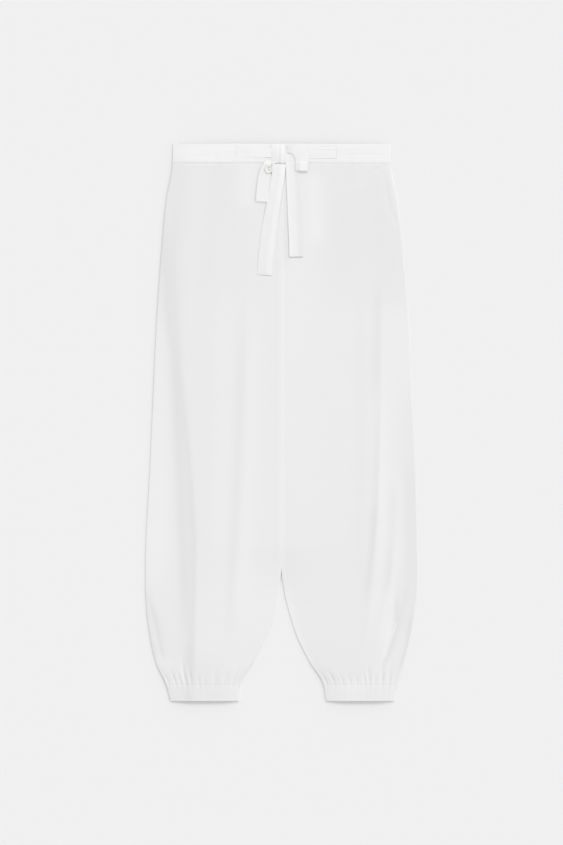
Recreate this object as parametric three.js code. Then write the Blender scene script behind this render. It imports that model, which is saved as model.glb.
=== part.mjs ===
// Balloon trousers in thin white cloth, laid out flat with the front side up.
// Millimetres, +Z up. X runs across the garment and the wearer's left leg is on +X. Y runs up
// towards the waist. The underside rests on z = 0, and the origin is the middle of that underside.
// In the tables "down" is the distance below the top of the waistband, and "across" is the distance
// from the centre seam towards the outer side of the leg.
import * as THREE from 'three';

// ---- Driving dimensions -------------------------------------------------------------------------

const LENGTH = 1030;
const WAISTBAND_DEPTH = 35;
const CUFF_DEPTH = 30;
const CUFF_HEIGHT = 10;

const CLOTH = 1.4;
const DOUBLE_CLOTH = 1.6;
const SEAM_GAP = 0.3;

// At its edge a front turns over tightly and gains the height of the turn. Then it swells slowly to
// its full height over the width of the slope.
const EDGE_TURN = 2.4;
const TURN_HEIGHT = 1.9;
const INNER_SLOPE = 120;
const OUTER_SLOPE = 60;
const BAND_SLOPE = 24;

// Folds and gathers fade out over this width beside an edge.
const RELIEF_EDGE = 7;

// Above its cuff a leg fills out to the cuff's own blunt section, over this length.
const CUFF_REACH = 60;

// Widest step between lines of points on a front, as a share of the leg's width, and the number of
// lines across a back and across the waistband.
const FRONT_STEP = 0.05;
const BACK_COLUMNS = 7;
const BAND_COLUMNS = 14;

// Depth of the crotch, where the centre seam turns under between the legs, and how gradually.
const CROTCH = 395;
const CROTCH_TURN = 32;

// The seam allowance makes a low ridge beside the centre seam, on the wearer's left.
const SEAM_RIDGE = { x: 2.6, width: 4, height: 0.3 };

// Width of the gap between the inseams at which the legs count as fully apart.
const PARTED = 14;

// A fold fades in and out over this share of its length. A gather thins out by this power.
const FOLD_FADE = 0.25;
const GATHER_TAPER = 1.5;

const RIBBON_CLOTH = 1;
const RIBBON_LIFT = 0.4;
const RIBBON_STEP_DOWN = 14;

const BUTTON_DIAMETER = 16;
const BUTTON_THICKNESS = 2.4;
const BUTTON_BEVEL = 0.5;
const BUTTON_HOLE_RADIUS = 1.2;
const BUTTON_HOLE_SPACING = 4.6;

// Outline of the garment and the height of its upper side. "innerShare" is the share of that height
// at the inner edge of a leg, and "steps" is how many sections of the panels follow before the next
// row.
const OUTLINE = [
  { down: 0, outerRight: 201, outerLeft: 201, innerRight: 0, innerLeft: 0,
    rise: 9.4, innerShare: 1, steps: 1 },
  { down: 35, outerRight: 202, outerLeft: 202, innerRight: 0, innerLeft: 0,
    rise: 9.2, innerShare: 1, steps: 2 },
  { down: 107, outerRight: 214, outerLeft: 215, innerRight: 0, innerLeft: 0,
    rise: 9.8, innerShare: 1, steps: 2 },
  { down: 207, outerRight: 223, outerLeft: 225, innerRight: 0, innerLeft: 0,
    rise: 10.2, innerShare: 1, steps: 3 },
  { down: 340, outerRight: 232, outerLeft: 236, innerRight: 0, innerLeft: 0,
    rise: 10.4, innerShare: 1, steps: 4 },
  { down: 474, outerRight: 238, outerLeft: 241, innerRight: 0, innerLeft: 0,
    rise: 10.6, innerShare: 0.94, steps: 3 },
  { down: 607, outerRight: 244, outerLeft: 248, innerRight: 0, innerLeft: 0,
    rise: 10.8, innerShare: 0.86, steps: 3 },
  { down: 740, outerRight: 251, outerLeft: 251, innerRight: 0, innerLeft: 0,
    rise: 11, innerShare: 0.66, steps: 2 },
  { down: 795, outerRight: 252, outerLeft: 252, innerRight: 0, innerLeft: 0,
    rise: 11.1, innerShare: 0.4, steps: 1 },
  { down: 818, outerRight: 252, outerLeft: 251, innerRight: 1.2, innerLeft: 1.2,
    rise: 11.2, innerShare: 0.2, steps: 2 },
  { down: 870, outerRight: 249, outerLeft: 245, innerRight: 14, innerLeft: 15,
    rise: 11.2, innerShare: 0.08, steps: 2 },
  { down: 914, outerRight: 243, outerLeft: 237, innerRight: 30, innerLeft: 30,
    rise: 11.2, innerShare: 0.06, steps: 3 },
  { down: 958, outerRight: 233, outerLeft: 226, innerRight: 53, innerLeft: 52,
    rise: 11, innerShare: 0.06, steps: 7 },
  { down: 1000, outerRight: 214, outerLeft: 215, innerRight: 76, innerLeft: 77,
    rise: 10.2, innerShare: 0.12, steps: 1 },
  { down: 1030, outerRight: 206, outerLeft: 208, innerRight: 79, innerLeft: 82,
    rise: 10, innerShare: 0.12, steps: 0 },
];

// Long folds of the two fronts. A fold runs from "top" through "middle" to "bottom", each with its
// own place across. "inward" and "outward" are the widths of its two slopes. A trough's height is
// below zero.
const FOLDS_RIGHT = [
  { top: 250, topAcross: 62, middle: 520, middleAcross: 69, bottom: 960, bottomAcross: 93,
    inward: 20, outward: 13, height: 2 },
  { top: 60, topAcross: 128, middle: 420, middleAcross: 124, bottom: 900, bottomAcross: 128,
    inward: 24, outward: 30, height: 1.1 },
];
const FOLDS_LEFT = [
  { top: 230, topAcross: 187, middle: 600, middleAcross: 181, bottom: 950, bottomAcross: 150,
    inward: 10, outward: 13, height: 2.2 },
  { top: 720, topAcross: 205, middle: 820, middleAcross: 197, bottom: 940, bottomAcross: 168,
    inward: 6, outward: 12, height: 0.9 },
  { top: 770, topAcross: 216, middle: 880, middleAcross: 204, bottom: 1005, bottomAcross: 172,
    inward: 12, outward: 11, height: -2.2 },
  { top: 830, topAcross: 222, middle: 905, middleAcross: 211, bottom: 985, bottomAcross: 188,
    inward: 6, outward: 6, height: -1 },
  { top: 560, topAcross: 222, middle: 720, middleAcross: 226, bottom: 860, bottomAcross: 222,
    inward: 20, outward: 15, height: -1.2 },
  { top: 38, topAcross: 186, middle: 55, middleAcross: 162, bottom: 82, bottomAcross: 140,
    inward: 7, outward: 9, height: -0.7 },
  { top: 40, topAcross: 187, middle: 108, middleAcross: 199, bottom: 180, bottomAcross: 222,
    inward: 6, outward: 6, height: -0.7 },
];

// A step is a crease beyond which the cloth lies lower all the way to the side seam. "run" is the
// width of the drop, "share" the part of the height that is lost, and "soft" rounds the crest.
const MAIN_STEP = [
  { down: 50, across: 186, run: 16, share: 0, soft: 12 },
  { down: 122, across: 190, run: 13, share: 0.4, soft: 8 },
  { down: 211, across: 199, run: 11, share: 0.58, soft: 6 },
  { down: 388, across: 188, run: 15, share: 0.64, soft: 5 },
  { down: 566, across: 169, run: 19, share: 0.74, soft: 5 },
  { down: 744, across: 157.5, run: 20, share: 0.8, soft: 4 },
  { down: 921, across: 161, run: 15, share: 0.72, soft: 4 },
  { down: 1010, across: 161, run: 13, share: 0.55, soft: 4 },
];
const SIDE_STEP = [
  { down: 800, across: 250, run: 4, share: 0, soft: 3 },
  { down: 830, across: 246, run: 4, share: 0.1, soft: 3 },
  { down: 877, across: 229.5, run: 4, share: 0.2, soft: 3 },
  { down: 964, across: 214.5, run: 4, share: 0.12, soft: 3 },
  { down: 1000, across: 208, run: 4, share: 0, soft: 3 },
];

// Gathers that the cuff draws in. "at" is the place across the leg, from 0 at the inseam to 1 at
// the side seam, and "length" is how far the crease runs up from the cuff.
const GATHERS_RIGHT = [
  { at: 0.04, width: 3, depth: 1.6, length: 30 },
  { at: 0.11, width: 4, depth: 2, length: 34 },
  { at: 0.225, width: 5, depth: 1.5, length: 44 },
  { at: 0.352, width: 6, depth: 1.6, length: 50 },
  { at: 0.479, width: 3.5, depth: 1.7, length: 22 },
  { at: 0.556, width: 3, depth: 1.8, length: 28 },
  { at: 0.655, width: 4, depth: 3.2, length: 52 },
  { at: 0.725, width: 4, depth: 3.4, length: 60 },
  { at: 0.796, width: 3, depth: 1.7, length: 30 },
  { at: 0.866, width: 3, depth: 2.2, length: 34 },
  { at: 0.955, width: 3, depth: 1.8, length: 26 },
];
const GATHERS_LEFT = [
  { at: 0.05, width: 3, depth: 1.8, length: 28 },
  { at: 0.15, width: 4, depth: 2.2, length: 34 },
  { at: 0.267, width: 3.5, depth: 1.7, length: 26 },
  { at: 0.363, width: 3, depth: 1.6, length: 28 },
  { at: 0.452, width: 3, depth: 1.7, length: 22 },
  { at: 0.555, width: 3, depth: 2.6, length: 30 },
  { at: 0.616, width: 3.5, depth: 2, length: 48 },
  { at: 0.69, width: 3.5, depth: 1.6, length: 26 },
  { at: 0.78, width: 4, depth: 3, length: 52 },
  { at: 0.87, width: 4, depth: 2.2, length: 46 },
  { at: 0.945, width: 3, depth: 1.8, length: 30 },
];

const LEGS = {
  right: {
    sign: -1,
    outer: 'outerRight',
    inner: 'innerRight',
    folds: FOLDS_RIGHT,
    steps: [MAIN_STEP, SIDE_STEP],
    gathers: GATHERS_RIGHT,
  },
  left: {
    sign: 1,
    outer: 'outerLeft',
    inner: 'innerLeft',
    folds: FOLDS_LEFT,
    steps: [],
    gathers: GATHERS_LEFT,
  },
};

// The tie. In its tables x is measured from the centre seam, "half" is half the ribbon's width,
// and "height" is how far a layer lies above the cloth under it.
const KNOT = { left: -20, right: 10, top: 2, bottom: 36.4, height: 5.4, sideRim: 0.35, endRim: 0.4 };

const RUN_RIGHT = [
  { x: -84, down: 13.5, half: 10.5, height: 0 },
  { x: -60, down: 14, half: 11, height: 0 },
  { x: -38, down: 15, half: 10.5, height: 0.6 },
  { x: -21.3, down: 17, half: 8.5, height: 1.6 },
];
const RUN_LEFT = [
  { x: 11, down: 15, half: 9, height: 0 },
  { x: 32, down: 15.5, half: 11.5, height: 0 },
  { x: 64, down: 16, half: 12, height: 0 },
  { x: 101, down: 15, half: 12, height: 0 },
];
const TAIL_RIGHT = [
  { x: -4.5, down: 37.9, half: 12.5, height: 0 },
  { x: -6.4, down: 61, half: 11.4, height: 0 },
  { x: -13.4, down: 104, half: 11.4, height: 0 },
  { x: -23.6, down: 168, half: 14.3, height: 0 },
  { x: -29.5, down: 210, half: 14, height: 0.2 },
  { x: -31.8, down: 243, half: 14, height: 0.4 },
];
const TAIL_LEFT = [
  { x: 16.5, down: 30, half: 5.5, height: 0 },
  { x: 19.5, down: 44, half: 9.5, height: 0 },
  { x: 22, down: 68, half: 12.2, height: 0 },
  { x: 24.5, down: 120, half: 12.2, height: 0.3 },
  { x: 26.5, down: 170, half: 12.2, height: 0.6 },
  { x: 27, down: 210, half: 12.2, height: 1.4 },
];
const LOOP_RIGHT = [
  { x: -25.2, down: 30, half: 4.6, height: 3 },
  { x: -26.8, down: 40, half: 7, height: 3.1 },
  { x: -28.8, down: 51, half: 9.6, height: 3.3 },
  { x: -31.4, down: 68, half: 11.4, height: 3.4 },
  { x: -34, down: 86, half: 11, height: 3.4 },
  { x: -35.8, down: 101.5, half: 10.4, height: 3.3 },
];
const LOOP_LEFT = [
  { x: 14.4, down: 17, half: 6, height: 4.8 },
  { x: 22, down: 9, half: 7.5, height: 5.2 },
  { x: 34, down: 11, half: 10.4, height: 6.4 },
  { x: 39.2, down: 25, half: 12, height: 7.2 },
  { x: 40, down: 46.5, half: 12, height: 7 },
];
const LOOP_RIGHT_FLOOR = 0.4;
const LOOP_LEFT_FLOOR = 2.2;
const BUTTON_PLACE = { x: -23.5, down: 47 };

const COLOURS = {
  cloth: { color: 0xf0f0ee, roughness: 0.85, metalness: 0 },
  band: { color: 0xf6f6f5, roughness: 0.8, metalness: 0 },
  tie: { color: 0xf8f8f7, roughness: 0.75, metalness: 0 },
  button: { color: 0xe8e6dd, roughness: 0.3, metalness: 0 },
};

// ---- Curves and tables --------------------------------------------------------------------------

function clamp01(value) {
  return Math.min(Math.max(value, 0), 1);
}

function smooth(value) {
  const t = clamp01(value);
  return t * t * (3 - 2 * t);
}

// A quarter of an ellipse, from 0 with an upright start to 1.
function arc(value) {
  const t = clamp01(value);
  return Math.sqrt(1 - (1 - t) ** 2);
}

function bell(distance, width) {
  return Math.exp(-((distance / width) ** 2));
}

// Reads a column of a table between its rows as a smooth curve that never overshoots.
function read(rows, key, column, at) {
  const last = rows.length - 1;
  const place = Math.min(Math.max(at, rows[0][key]), rows[last][key]);
  let k = 0;
  while (k < last - 1 && rows[k + 1][key] < place) {
    k += 1;
  }
  const slope = (i) => (rows[i + 1][column] - rows[i][column]) / (rows[i + 1][key] - rows[i][key]);
  const tangent = (i) => {
    if (i === 0) {
      return slope(0);
    }
    if (i === last) {
      return slope(last - 1);
    }
    const before = slope(i - 1);
    const after = slope(i);
    return before * after > 0 ? (2 * before * after) / (before + after) : 0;
  };
  const span = rows[k + 1][key] - rows[k][key];
  const t = (place - rows[k][key]) / span;
  const rest = 1 - t;
  return (
    rows[k][column] * rest * rest * (1 + 2 * t) +
    rows[k + 1][column] * t * t * (1 + 2 * rest) +
    tangent(k) * span * t * rest * rest -
    tangent(k + 1) * span * t * t * rest
  );
}

function outline(column, down) {
  return read(OUTLINE, 'down', column, down);
}

function heightY(down) {
  return LENGTH / 2 - down;
}

// 0 where the two fronts are joined at the centre, 1 where the leg closes into its own tube.
function closing(down) {
  return smooth((down - (CROTCH - CROTCH_TURN)) / (2 * CROTCH_TURN));
}

// 0 where the legs lie against each other, 1 where the gap between them is wide.
function parting(leg, down) {
  return smooth(outline(leg.inner, down) / PARTED);
}

// ---- The upper side of the garment --------------------------------------------------------------

// A slow rise from 0 to 1, steepest at its start.
function swell(value) {
  return 1 - (1 - clamp01(value)) ** 2;
}

function foldHeight(fold, across, down) {
  if (down <= fold.top || down >= fold.bottom) {
    return 0;
  }
  const line = [
    { down: fold.top, across: fold.topAcross },
    { down: fold.middle, across: fold.middleAcross },
    { down: fold.bottom, across: fold.bottomAcross },
  ];
  const offset = across - read(line, 'down', 'across', down);
  const width = offset < 0 ? fold.inward : fold.outward;
  const part = (down - fold.top) / (fold.bottom - fold.top);
  const fade = smooth(part / FOLD_FADE) * smooth((1 - part) / FOLD_FADE);
  return fold.height * bell(offset, width) * fade;
}

// The share of its height that a front keeps at a place beside or beyond a step.
function stepShare(rows, across, down) {
  const offset = across - read(rows, 'down', 'across', down);
  const beyond = (offset + Math.hypot(offset, read(rows, 'down', 'soft', down))) / 2;
  const dropped = 1 - Math.exp(-beyond / read(rows, 'down', 'run', down));
  return 1 - read(rows, 'down', 'share', down) * dropped;
}

function gatherHeight(leg, across, down) {
  const inner = outline(leg.inner, down);
  const outer = outline(leg.outer, down);
  const above = LENGTH - CUFF_DEPTH - down;
  let height = 0;
  for (const gather of leg.gathers) {
    const offset = across - (inner + gather.at * (outer - inner));
    const fade = clamp01(1 - above / gather.length) ** GATHER_TAPER;
    height -= gather.depth * bell(offset, gather.width) * fade;
  }
  return height;
}

// Height of the upper face of a front panel, which meets the back at its edges.
function frontTop(leg, across, down) {
  const base = CLOTH + SEAM_GAP;
  const fromInner = across - outline(leg.inner, down);
  const fromOuter = outline(leg.outer, down) - across;
  const kept = outline('innerShare', down);
  let shape = (kept + (1 - kept) * swell(fromInner / INNER_SLOPE)) * swell(fromOuter / OUTER_SLOPE);
  for (const rows of leg.steps) {
    shape *= stepShare(rows, across, down);
  }
  const swelling = outline('rise', down) - base - TURN_HEIGHT;
  const laid = TURN_HEIGHT * arc(fromOuter / EDGE_TURN) + swelling * shape;
  const own = laid * (1 - closing(down) * (1 - arc(fromInner / EDGE_TURN)));
  const round = CUFF_HEIGHT / 2;
  const blunt = (CUFF_HEIGHT - base) * arc(fromInner / round) * arc(fromOuter / round);
  const near = smooth(1 - (LENGTH - CUFF_DEPTH - down) / CUFF_REACH);
  let relief = gatherHeight(leg, across, down);
  for (const fold of leg.folds) {
    relief += foldHeight(fold, across, down);
  }
  relief *= smooth(fromInner / RELIEF_EDGE) * smooth(fromOuter / RELIEF_EDGE);
  const ridge = SEAM_RIDGE.height * bell(leg.sign * across - SEAM_RIDGE.x, SEAM_RIDGE.width);
  return base + own + (blunt - own) * near + relief + ridge * (1 - parting(leg, down));
}

// Height of what a tie or a button lies on, at any place on the garment. A ribbon that runs down
// off the waistband comes to lie on the front a little below the seam.
function clothTop(x, down) {
  const band = outline('rise', 0);
  const front = frontTop(x < 0 ? LEGS.right : LEGS.left, Math.abs(x), down);
  const off = smooth((down - WAISTBAND_DEPTH) / RIBBON_STEP_DOWN);
  return Math.max(band + (front - band) * off, down > WAISTBAND_DEPTH ? front : band);
}

// ---- Closed walls from points -------------------------------------------------------------------

function meshFrom(points, triangles, name, finish) {
  const geometry = new THREE.BufferGeometry();
  geometry.setAttribute('position', new THREE.Float32BufferAttribute(points.flat(), 3));
  geometry.setIndex(triangles.flat());
  let volume = 0;
  const [a, b, c] = [new THREE.Vector3(), new THREE.Vector3(), new THREE.Vector3()];
  for (const [i, j, k] of triangles) {
    volume += a.fromArray(points[i]).dot(b.fromArray(points[j]).cross(c.fromArray(points[k])));
  }
  if (volume < 0) {
    geometry.setIndex(triangles.map(([i, j, k]) => [i, k, j]).flat());
  }
  geometry.computeVertexNormals();
  const mesh = new THREE.Mesh(geometry, new THREE.MeshStandardMaterial(finish));
  mesh.name = name;
  return mesh;
}

// A sheet with two faces, given as two grids of points of the same size, closed round its border.
function sheet(name, upper, lower, finish) {
  const rows = upper.length;
  const columns = upper[0].length;
  const points = [...upper.flat(), ...lower.flat()];
  const top = (i, j) => i * columns + j;
  const under = (i, j) => rows * columns + i * columns + j;
  const triangles = [];
  const quad = (a, b, c, d) => triangles.push([a, b, c], [a, c, d]);
  for (let i = 0; i < rows - 1; i += 1) {
    for (let j = 0; j < columns - 1; j += 1) {
      quad(top(i, j), top(i + 1, j), top(i + 1, j + 1), top(i, j + 1));
      quad(under(i, j), under(i, j + 1), under(i + 1, j + 1), under(i + 1, j));
    }
    quad(top(i, 0), under(i, 0), under(i + 1, 0), top(i + 1, 0));
    quad(top(i, columns - 1), top(i + 1, columns - 1), under(i + 1, columns - 1), under(i, columns - 1));
  }
  for (let j = 0; j < columns - 1; j += 1) {
    quad(top(0, j), top(0, j + 1), under(0, j + 1), under(0, j));
    quad(top(rows - 1, j), under(rows - 1, j), under(rows - 1, j + 1), top(rows - 1, j + 1));
  }
  return meshFrom(points, triangles, name, finish);
}

// A tube open at both ends, given as matching outer and inner rings.
function tube(name, outerRings, innerRings, finish) {
  const rings = outerRings.length;
  const around = outerRings[0].length;
  const points = [...outerRings.flat(), ...innerRings.flat()];
  const out = (i, j) => i * around + (j % around);
  const within = (i, j) => rings * around + i * around + (j % around);
  const triangles = [];
  const quad = (a, b, c, d) => triangles.push([a, b, c], [a, c, d]);
  for (let j = 0; j < around; j += 1) {
    for (let i = 0; i < rings - 1; i += 1) {
      quad(out(i, j), out(i + 1, j), out(i + 1, j + 1), out(i, j + 1));
      quad(within(i, j), within(i, j + 1), within(i + 1, j + 1), within(i + 1, j));
    }
    quad(out(0, j), out(0, j + 1), within(0, j + 1), within(0, j));
    quad(out(rings - 1, j), within(rings - 1, j), within(rings - 1, j + 1), out(rings - 1, j + 1));
  }
  return meshFrom(points, triangles, name, finish);
}

// Moves each point of an upper layer's section inward by the cloth's thickness. The outward
// directions at its two ends are given.
function thickenSection(section, thickness, startDirection, endDirection) {
  const last = section.length - 1;
  return section.map(([x, z], j) => {
    let direction;
    if (j === 0) {
      direction = startDirection;
    } else if (j === last) {
      direction = endDirection;
    } else {
      const dx = section[j + 1][0] - section[j - 1][0];
      const dz = section[j + 1][1] - section[j - 1][1];
      direction = [-dz, dx];
    }
    const size = Math.hypot(...direction);
    return [x - (thickness * direction[0]) / size, z - (thickness * direction[1]) / size];
  });
}

// ---- Trouser panels -----------------------------------------------------------------------------

// Angles of the points round a turned edge, as shares of the turn.
const TURN_POINTS = [0, 30, 60, 90].map((degrees) => 1 - Math.cos((degrees * Math.PI) / 180));

// Places across an upper layer: close round its two turned edges, by the given shares in between.
function placesAcross(inner, outer, turn, shares) {
  const flat = outer - inner - 2 * turn;
  return [
    ...TURN_POINTS.map((share) => inner + turn * share),
    ...shares.map((share) => inner + turn + flat * share),
    ...TURN_POINTS.map((share) => outer - turn * share).reverse(),
  ];
}

// Every gather gets a line of points along its crease, with one to three on the crest beside it.
function gatherShares(gathers) {
  const places = [0, ...gathers.map((gather) => gather.at), 1];
  const shares = [];
  for (let k = 1; k < places.length; k += 1) {
    const width = places[k] - places[k - 1];
    const parts = width > 2 * FRONT_STEP ? 4 : 2;
    for (let part = 1; part <= parts; part += 1) {
      shares.push(places[k - 1] + (width * part) / parts);
    }
  }
  return shares.slice(0, -1);
}

function evenShares(count) {
  return Array.from({ length: count }, (_, k) => k / (count - 1));
}

// Shares from 0 to 1 that lie closer together towards both ends.
function easedShares(count) {
  return evenShares(count).map((share) => (1 - Math.cos(Math.PI * share)) / 2);
}

// Sections between two places down the garment, closer together where the shape changes quickly.
function sectionsDown(from, to) {
  const downs = [];
  OUTLINE.forEach((row, k) => {
    const next = OUTLINE[k + 1] ?? row;
    for (let s = 0; s < row.steps; s += 1) {
      downs.push(row.down + ((next.down - row.down) * s) / row.steps);
    }
  });
  return [from, ...downs.filter((down) => down > from + 1 && down < to - 1), to];
}

function frontPanel(name, leg) {
  const shares = gatherShares(leg.gathers);
  const upper = [];
  const lower = [];
  for (const down of sectionsDown(WAISTBAND_DEPTH + SEAM_GAP, LENGTH - CUFF_DEPTH)) {
    const inner = outline(leg.inner, down) + SEAM_GAP / 2;
    const outer = outline(leg.outer, down);
    const shut = closing(down);
    const near = smooth(1 - (LENGTH - CUFF_DEPTH - down) / CUFF_REACH);
    const turn = EDGE_TURN + (CUFF_HEIGHT / 2 - EDGE_TURN) * near;
    const places = placesAcross(inner, outer, turn, shares);
    const section = places.map((across) => [across, frontTop(leg, across, down)]);
    // The seam gap is taken off the width only, so the edge keeps the height that it has at the seam.
    section[0][1] = frontTop(leg, outline(leg.inner, down), down);
    const inside = thickenSection(section, CLOTH, [-shut, 1 - shut], [1, 0]);
    upper.push(section.map(([x, z]) => [leg.sign * x, heightY(down), z]));
    lower.push(inside.map(([x, z]) => [leg.sign * x, heightY(down), z]));
  }
  return sheet(name, upper, lower, COLOURS.cloth);
}

// A layer that lies flat on the ground, from a row of [down, inner, outer] for each section.
function flatLayer(name, sections, sign, columns, thickness, finish) {
  const face = (z) =>
    sections.map(([down, inner, outer]) =>
      evenShares(columns).map((share) => [sign * (inner + (outer - inner) * share), heightY(down), z]),
    );
  return sheet(name, face(thickness), face(0), finish);
}

function backPanel(name, leg) {
  const downs = sectionsDown(WAISTBAND_DEPTH + SEAM_GAP, LENGTH - CUFF_DEPTH);
  const sections = downs.map((down) => [
    down,
    outline(leg.inner, down) + SEAM_GAP / 2,
    outline(leg.outer, down),
  ]);
  return flatLayer(name, sections, leg.sign, BACK_COLUMNS, CLOTH, COLOURS.cloth);
}

// ---- Waistband ----------------------------------------------------------------------------------

const BAND_DOWNS = [0, WAISTBAND_DEPTH / 2, WAISTBAND_DEPTH];

function waistbandFront(name) {
  const base = DOUBLE_CLOTH + SEAM_GAP;
  const swellHeight = outline('rise', 0) - base - TURN_HEIGHT;
  const upper = [];
  const lower = [];
  for (const down of BAND_DOWNS) {
    const outer = outline('outerRight', down);
    const places = placesAcross(-outer, outer, EDGE_TURN, easedShares(BAND_COLUMNS).slice(1, -1));
    const section = places.map((x) => {
      const edge = outer - Math.abs(x);
      return [x, base + TURN_HEIGHT * arc(edge / EDGE_TURN) + swellHeight * swell(edge / BAND_SLOPE)];
    });
    const inside = thickenSection(section, DOUBLE_CLOTH, [-1, 0], [1, 0]);
    upper.push(section.map(([x, z]) => [x, heightY(down), z]));
    lower.push(inside.map(([x, z]) => [x, heightY(down), z]));
  }
  return sheet(name, upper, lower, COLOURS.band);
}

function waistbandBack(name) {
  const sections = BAND_DOWNS.map((down) => {
    const outer = outline('outerRight', down);
    return [down, -outer, outer];
  });
  return flatLayer(name, sections, 1, BAND_COLUMNS, DOUBLE_CLOTH, COLOURS.band);
}

// ---- Cuffs --------------------------------------------------------------------------------------

// A flattened ring with round ends, set in from the outline by the given distance.
function cuffRing(leg, down, inset) {
  const radius = CUFF_HEIGHT / 2;
  const low = outline(leg.inner, down) + radius;
  const high = outline(leg.outer, down) - radius;
  const flatPoints = 8;
  const roundPoints = 6;
  const ring = [];
  const put = (x, z) => ring.push([leg.sign * x, heightY(down), z]);
  for (let k = 0; k < flatPoints; k += 1) {
    put(low + ((high - low) * k) / flatPoints, inset);
  }
  for (let k = 0; k < roundPoints; k += 1) {
    const angle = -Math.PI / 2 + (Math.PI * k) / roundPoints;
    put(high + (radius - inset) * Math.cos(angle), radius + (radius - inset) * Math.sin(angle));
  }
  for (let k = 0; k < flatPoints; k += 1) {
    put(high - ((high - low) * k) / flatPoints, CUFF_HEIGHT - inset);
  }
  for (let k = 0; k < roundPoints; k += 1) {
    const angle = Math.PI / 2 + (Math.PI * k) / roundPoints;
    put(low + (radius - inset) * Math.cos(angle), radius + (radius - inset) * Math.sin(angle));
  }
  return ring;
}

function cuff(name, leg) {
  const top = LENGTH - CUFF_DEPTH + SEAM_GAP;
  const downs = [0, 1 / 3, 2 / 3, 1].map((share) => top + (LENGTH - top) * share);
  const outer = downs.map((down) => cuffRing(leg, down, 0));
  const inner = downs.map((down) => cuffRing(leg, down, DOUBLE_CLOTH));
  return tube(name, outer, inner, COLOURS.band);
}

// ---- Tie ----------------------------------------------------------------------------------------

const RIBBON_ACROSS = [-1, -0.5, 0, 0.5, 1];

// The route of a ribbon as a smooth curve in plan, sampled evenly, with its width and height.
function ribbonRoute(rows, steps) {
  const plan = new THREE.CatmullRomCurve3(rows.map((row) => new THREE.Vector3(row.x, row.down, 0)));
  const sizes = new THREE.CatmullRomCurve3(
    rows.map((row) => new THREE.Vector3(row.half, row.height, 0)),
  );
  return Array.from({ length: steps + 1 }, (_, k) => {
    const t = k / steps;
    const place = plan.getPoint(t);
    const ahead = plan.getTangent(t);
    const size = sizes.getPoint(t);
    return {
      x: place.x,
      down: place.y,
      aheadX: ahead.x,
      aheadDown: ahead.y,
      half: size.x,
      height: size.y,
    };
  });
}

// A point of a ribbon: "side" from -1 to 1 across its width, "further" along it past the station,
// and a height above the cloth that it lies on.
function ribbonPoint(station, side, further, height) {
  const x = station.x + station.aheadX * further + station.aheadDown * side * station.half;
  const down = station.down + station.aheadDown * further - station.aheadX * side * station.half;
  return [x, heightY(down), clothTop(x, down) + height];
}

function flatRibbon(name, rows, steps) {
  const route = ribbonRoute(rows, steps);
  const layer = (rise) =>
    route.map((station) =>
      RIBBON_ACROSS.map((side) => ribbonPoint(station, side, 0, station.height + rise)),
    );
  return sheet(name, layer(RIBBON_LIFT + RIBBON_CLOTH), layer(RIBBON_LIFT), COLOURS.tie);
}

// A bow loop: the ribbon runs out along the cloth, turns over in a round fold and comes back above.
function foldedLoop(name, rows, steps, floor) {
  const route = ribbonRoute(rows, steps);
  const end = route[steps];
  const middle = (floor + end.height) / 2;
  const radius = (end.height - floor) / 2;
  const turns = [1, 2, 3, 4, 5].map((k) => Math.PI / 2 - (k * Math.PI) / 6);
  const face = (inset) => {
    const row = (station, further, height) =>
      RIBBON_ACROSS.map((side) => ribbonPoint(station, side, further, height));
    const reach = radius - inset;
    return [
      ...route.map((station) => row(station, 0, station.height - inset)),
      ...turns.map((turn) => row(end, reach * Math.cos(turn), middle + reach * Math.sin(turn))),
      ...[...route].reverse().map((station) => row(station, 0, floor + inset)),
    ];
  };
  return sheet(name, face(0), face(RIBBON_CLOTH), COLOURS.tie);
}

// The knot: a plump pad of bunched ribbon on the waistband.
function knot(name) {
  const across = 9;
  const along = 8;
  const base = outline('rise', 0) + SEAM_GAP;
  const upper = [];
  const lower = [];
  for (let i = 0; i <= along; i += 1) {
    const v = i / along;
    const bulge = KNOT.endRim + (1 - KNOT.endRim) * Math.sin(Math.PI * v);
    upper.push([]);
    lower.push([]);
    for (let j = 0; j <= across; j += 1) {
      const u = j / across;
      const x = KNOT.left + (KNOT.right - KNOT.left) * u;
      const down = KNOT.top + (KNOT.bottom - KNOT.top) * v;
      const dome = KNOT.sideRim + (1 - KNOT.sideRim) * Math.sqrt(Math.sin(Math.PI * u));
      upper[i].push([x, heightY(down), base + KNOT.height * dome * bulge]);
      lower[i].push([x, heightY(down), base]);
    }
  }
  return sheet(name, upper, lower, COLOURS.tie);
}

// ---- Button -------------------------------------------------------------------------------------

function button(name) {
  const disc = new THREE.Shape();
  disc.absarc(0, 0, BUTTON_DIAMETER / 2 - BUTTON_BEVEL, 0, 2 * Math.PI, false);
  for (const side of [-1, 1]) {
    const hole = new THREE.Path();
    const radius = BUTTON_HOLE_RADIUS + BUTTON_BEVEL;
    hole.absarc(0, (side * BUTTON_HOLE_SPACING) / 2, radius, 0, 2 * Math.PI, true);
    disc.holes.push(hole);
  }
  const geometry = new THREE.ExtrudeGeometry(disc, {
    depth: BUTTON_THICKNESS - 2 * BUTTON_BEVEL,
    bevelEnabled: true,
    bevelThickness: BUTTON_BEVEL,
    bevelSize: BUTTON_BEVEL,
    bevelSegments: 1,
    curveSegments: 14,
  });
  const mesh = new THREE.Mesh(geometry, new THREE.MeshStandardMaterial(COLOURS.button));
  mesh.name = name;
  const { x, down } = BUTTON_PLACE;
  const lowRim = down + BUTTON_DIAMETER / 2;
  const under = clothTop(x, lowRim) + read(LOOP_RIGHT, 'down', 'height', lowRim);
  mesh.position.set(x, heightY(down), under + SEAM_GAP + BUTTON_BEVEL);
  return mesh;
}

// ---- The garment --------------------------------------------------------------------------------

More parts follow.
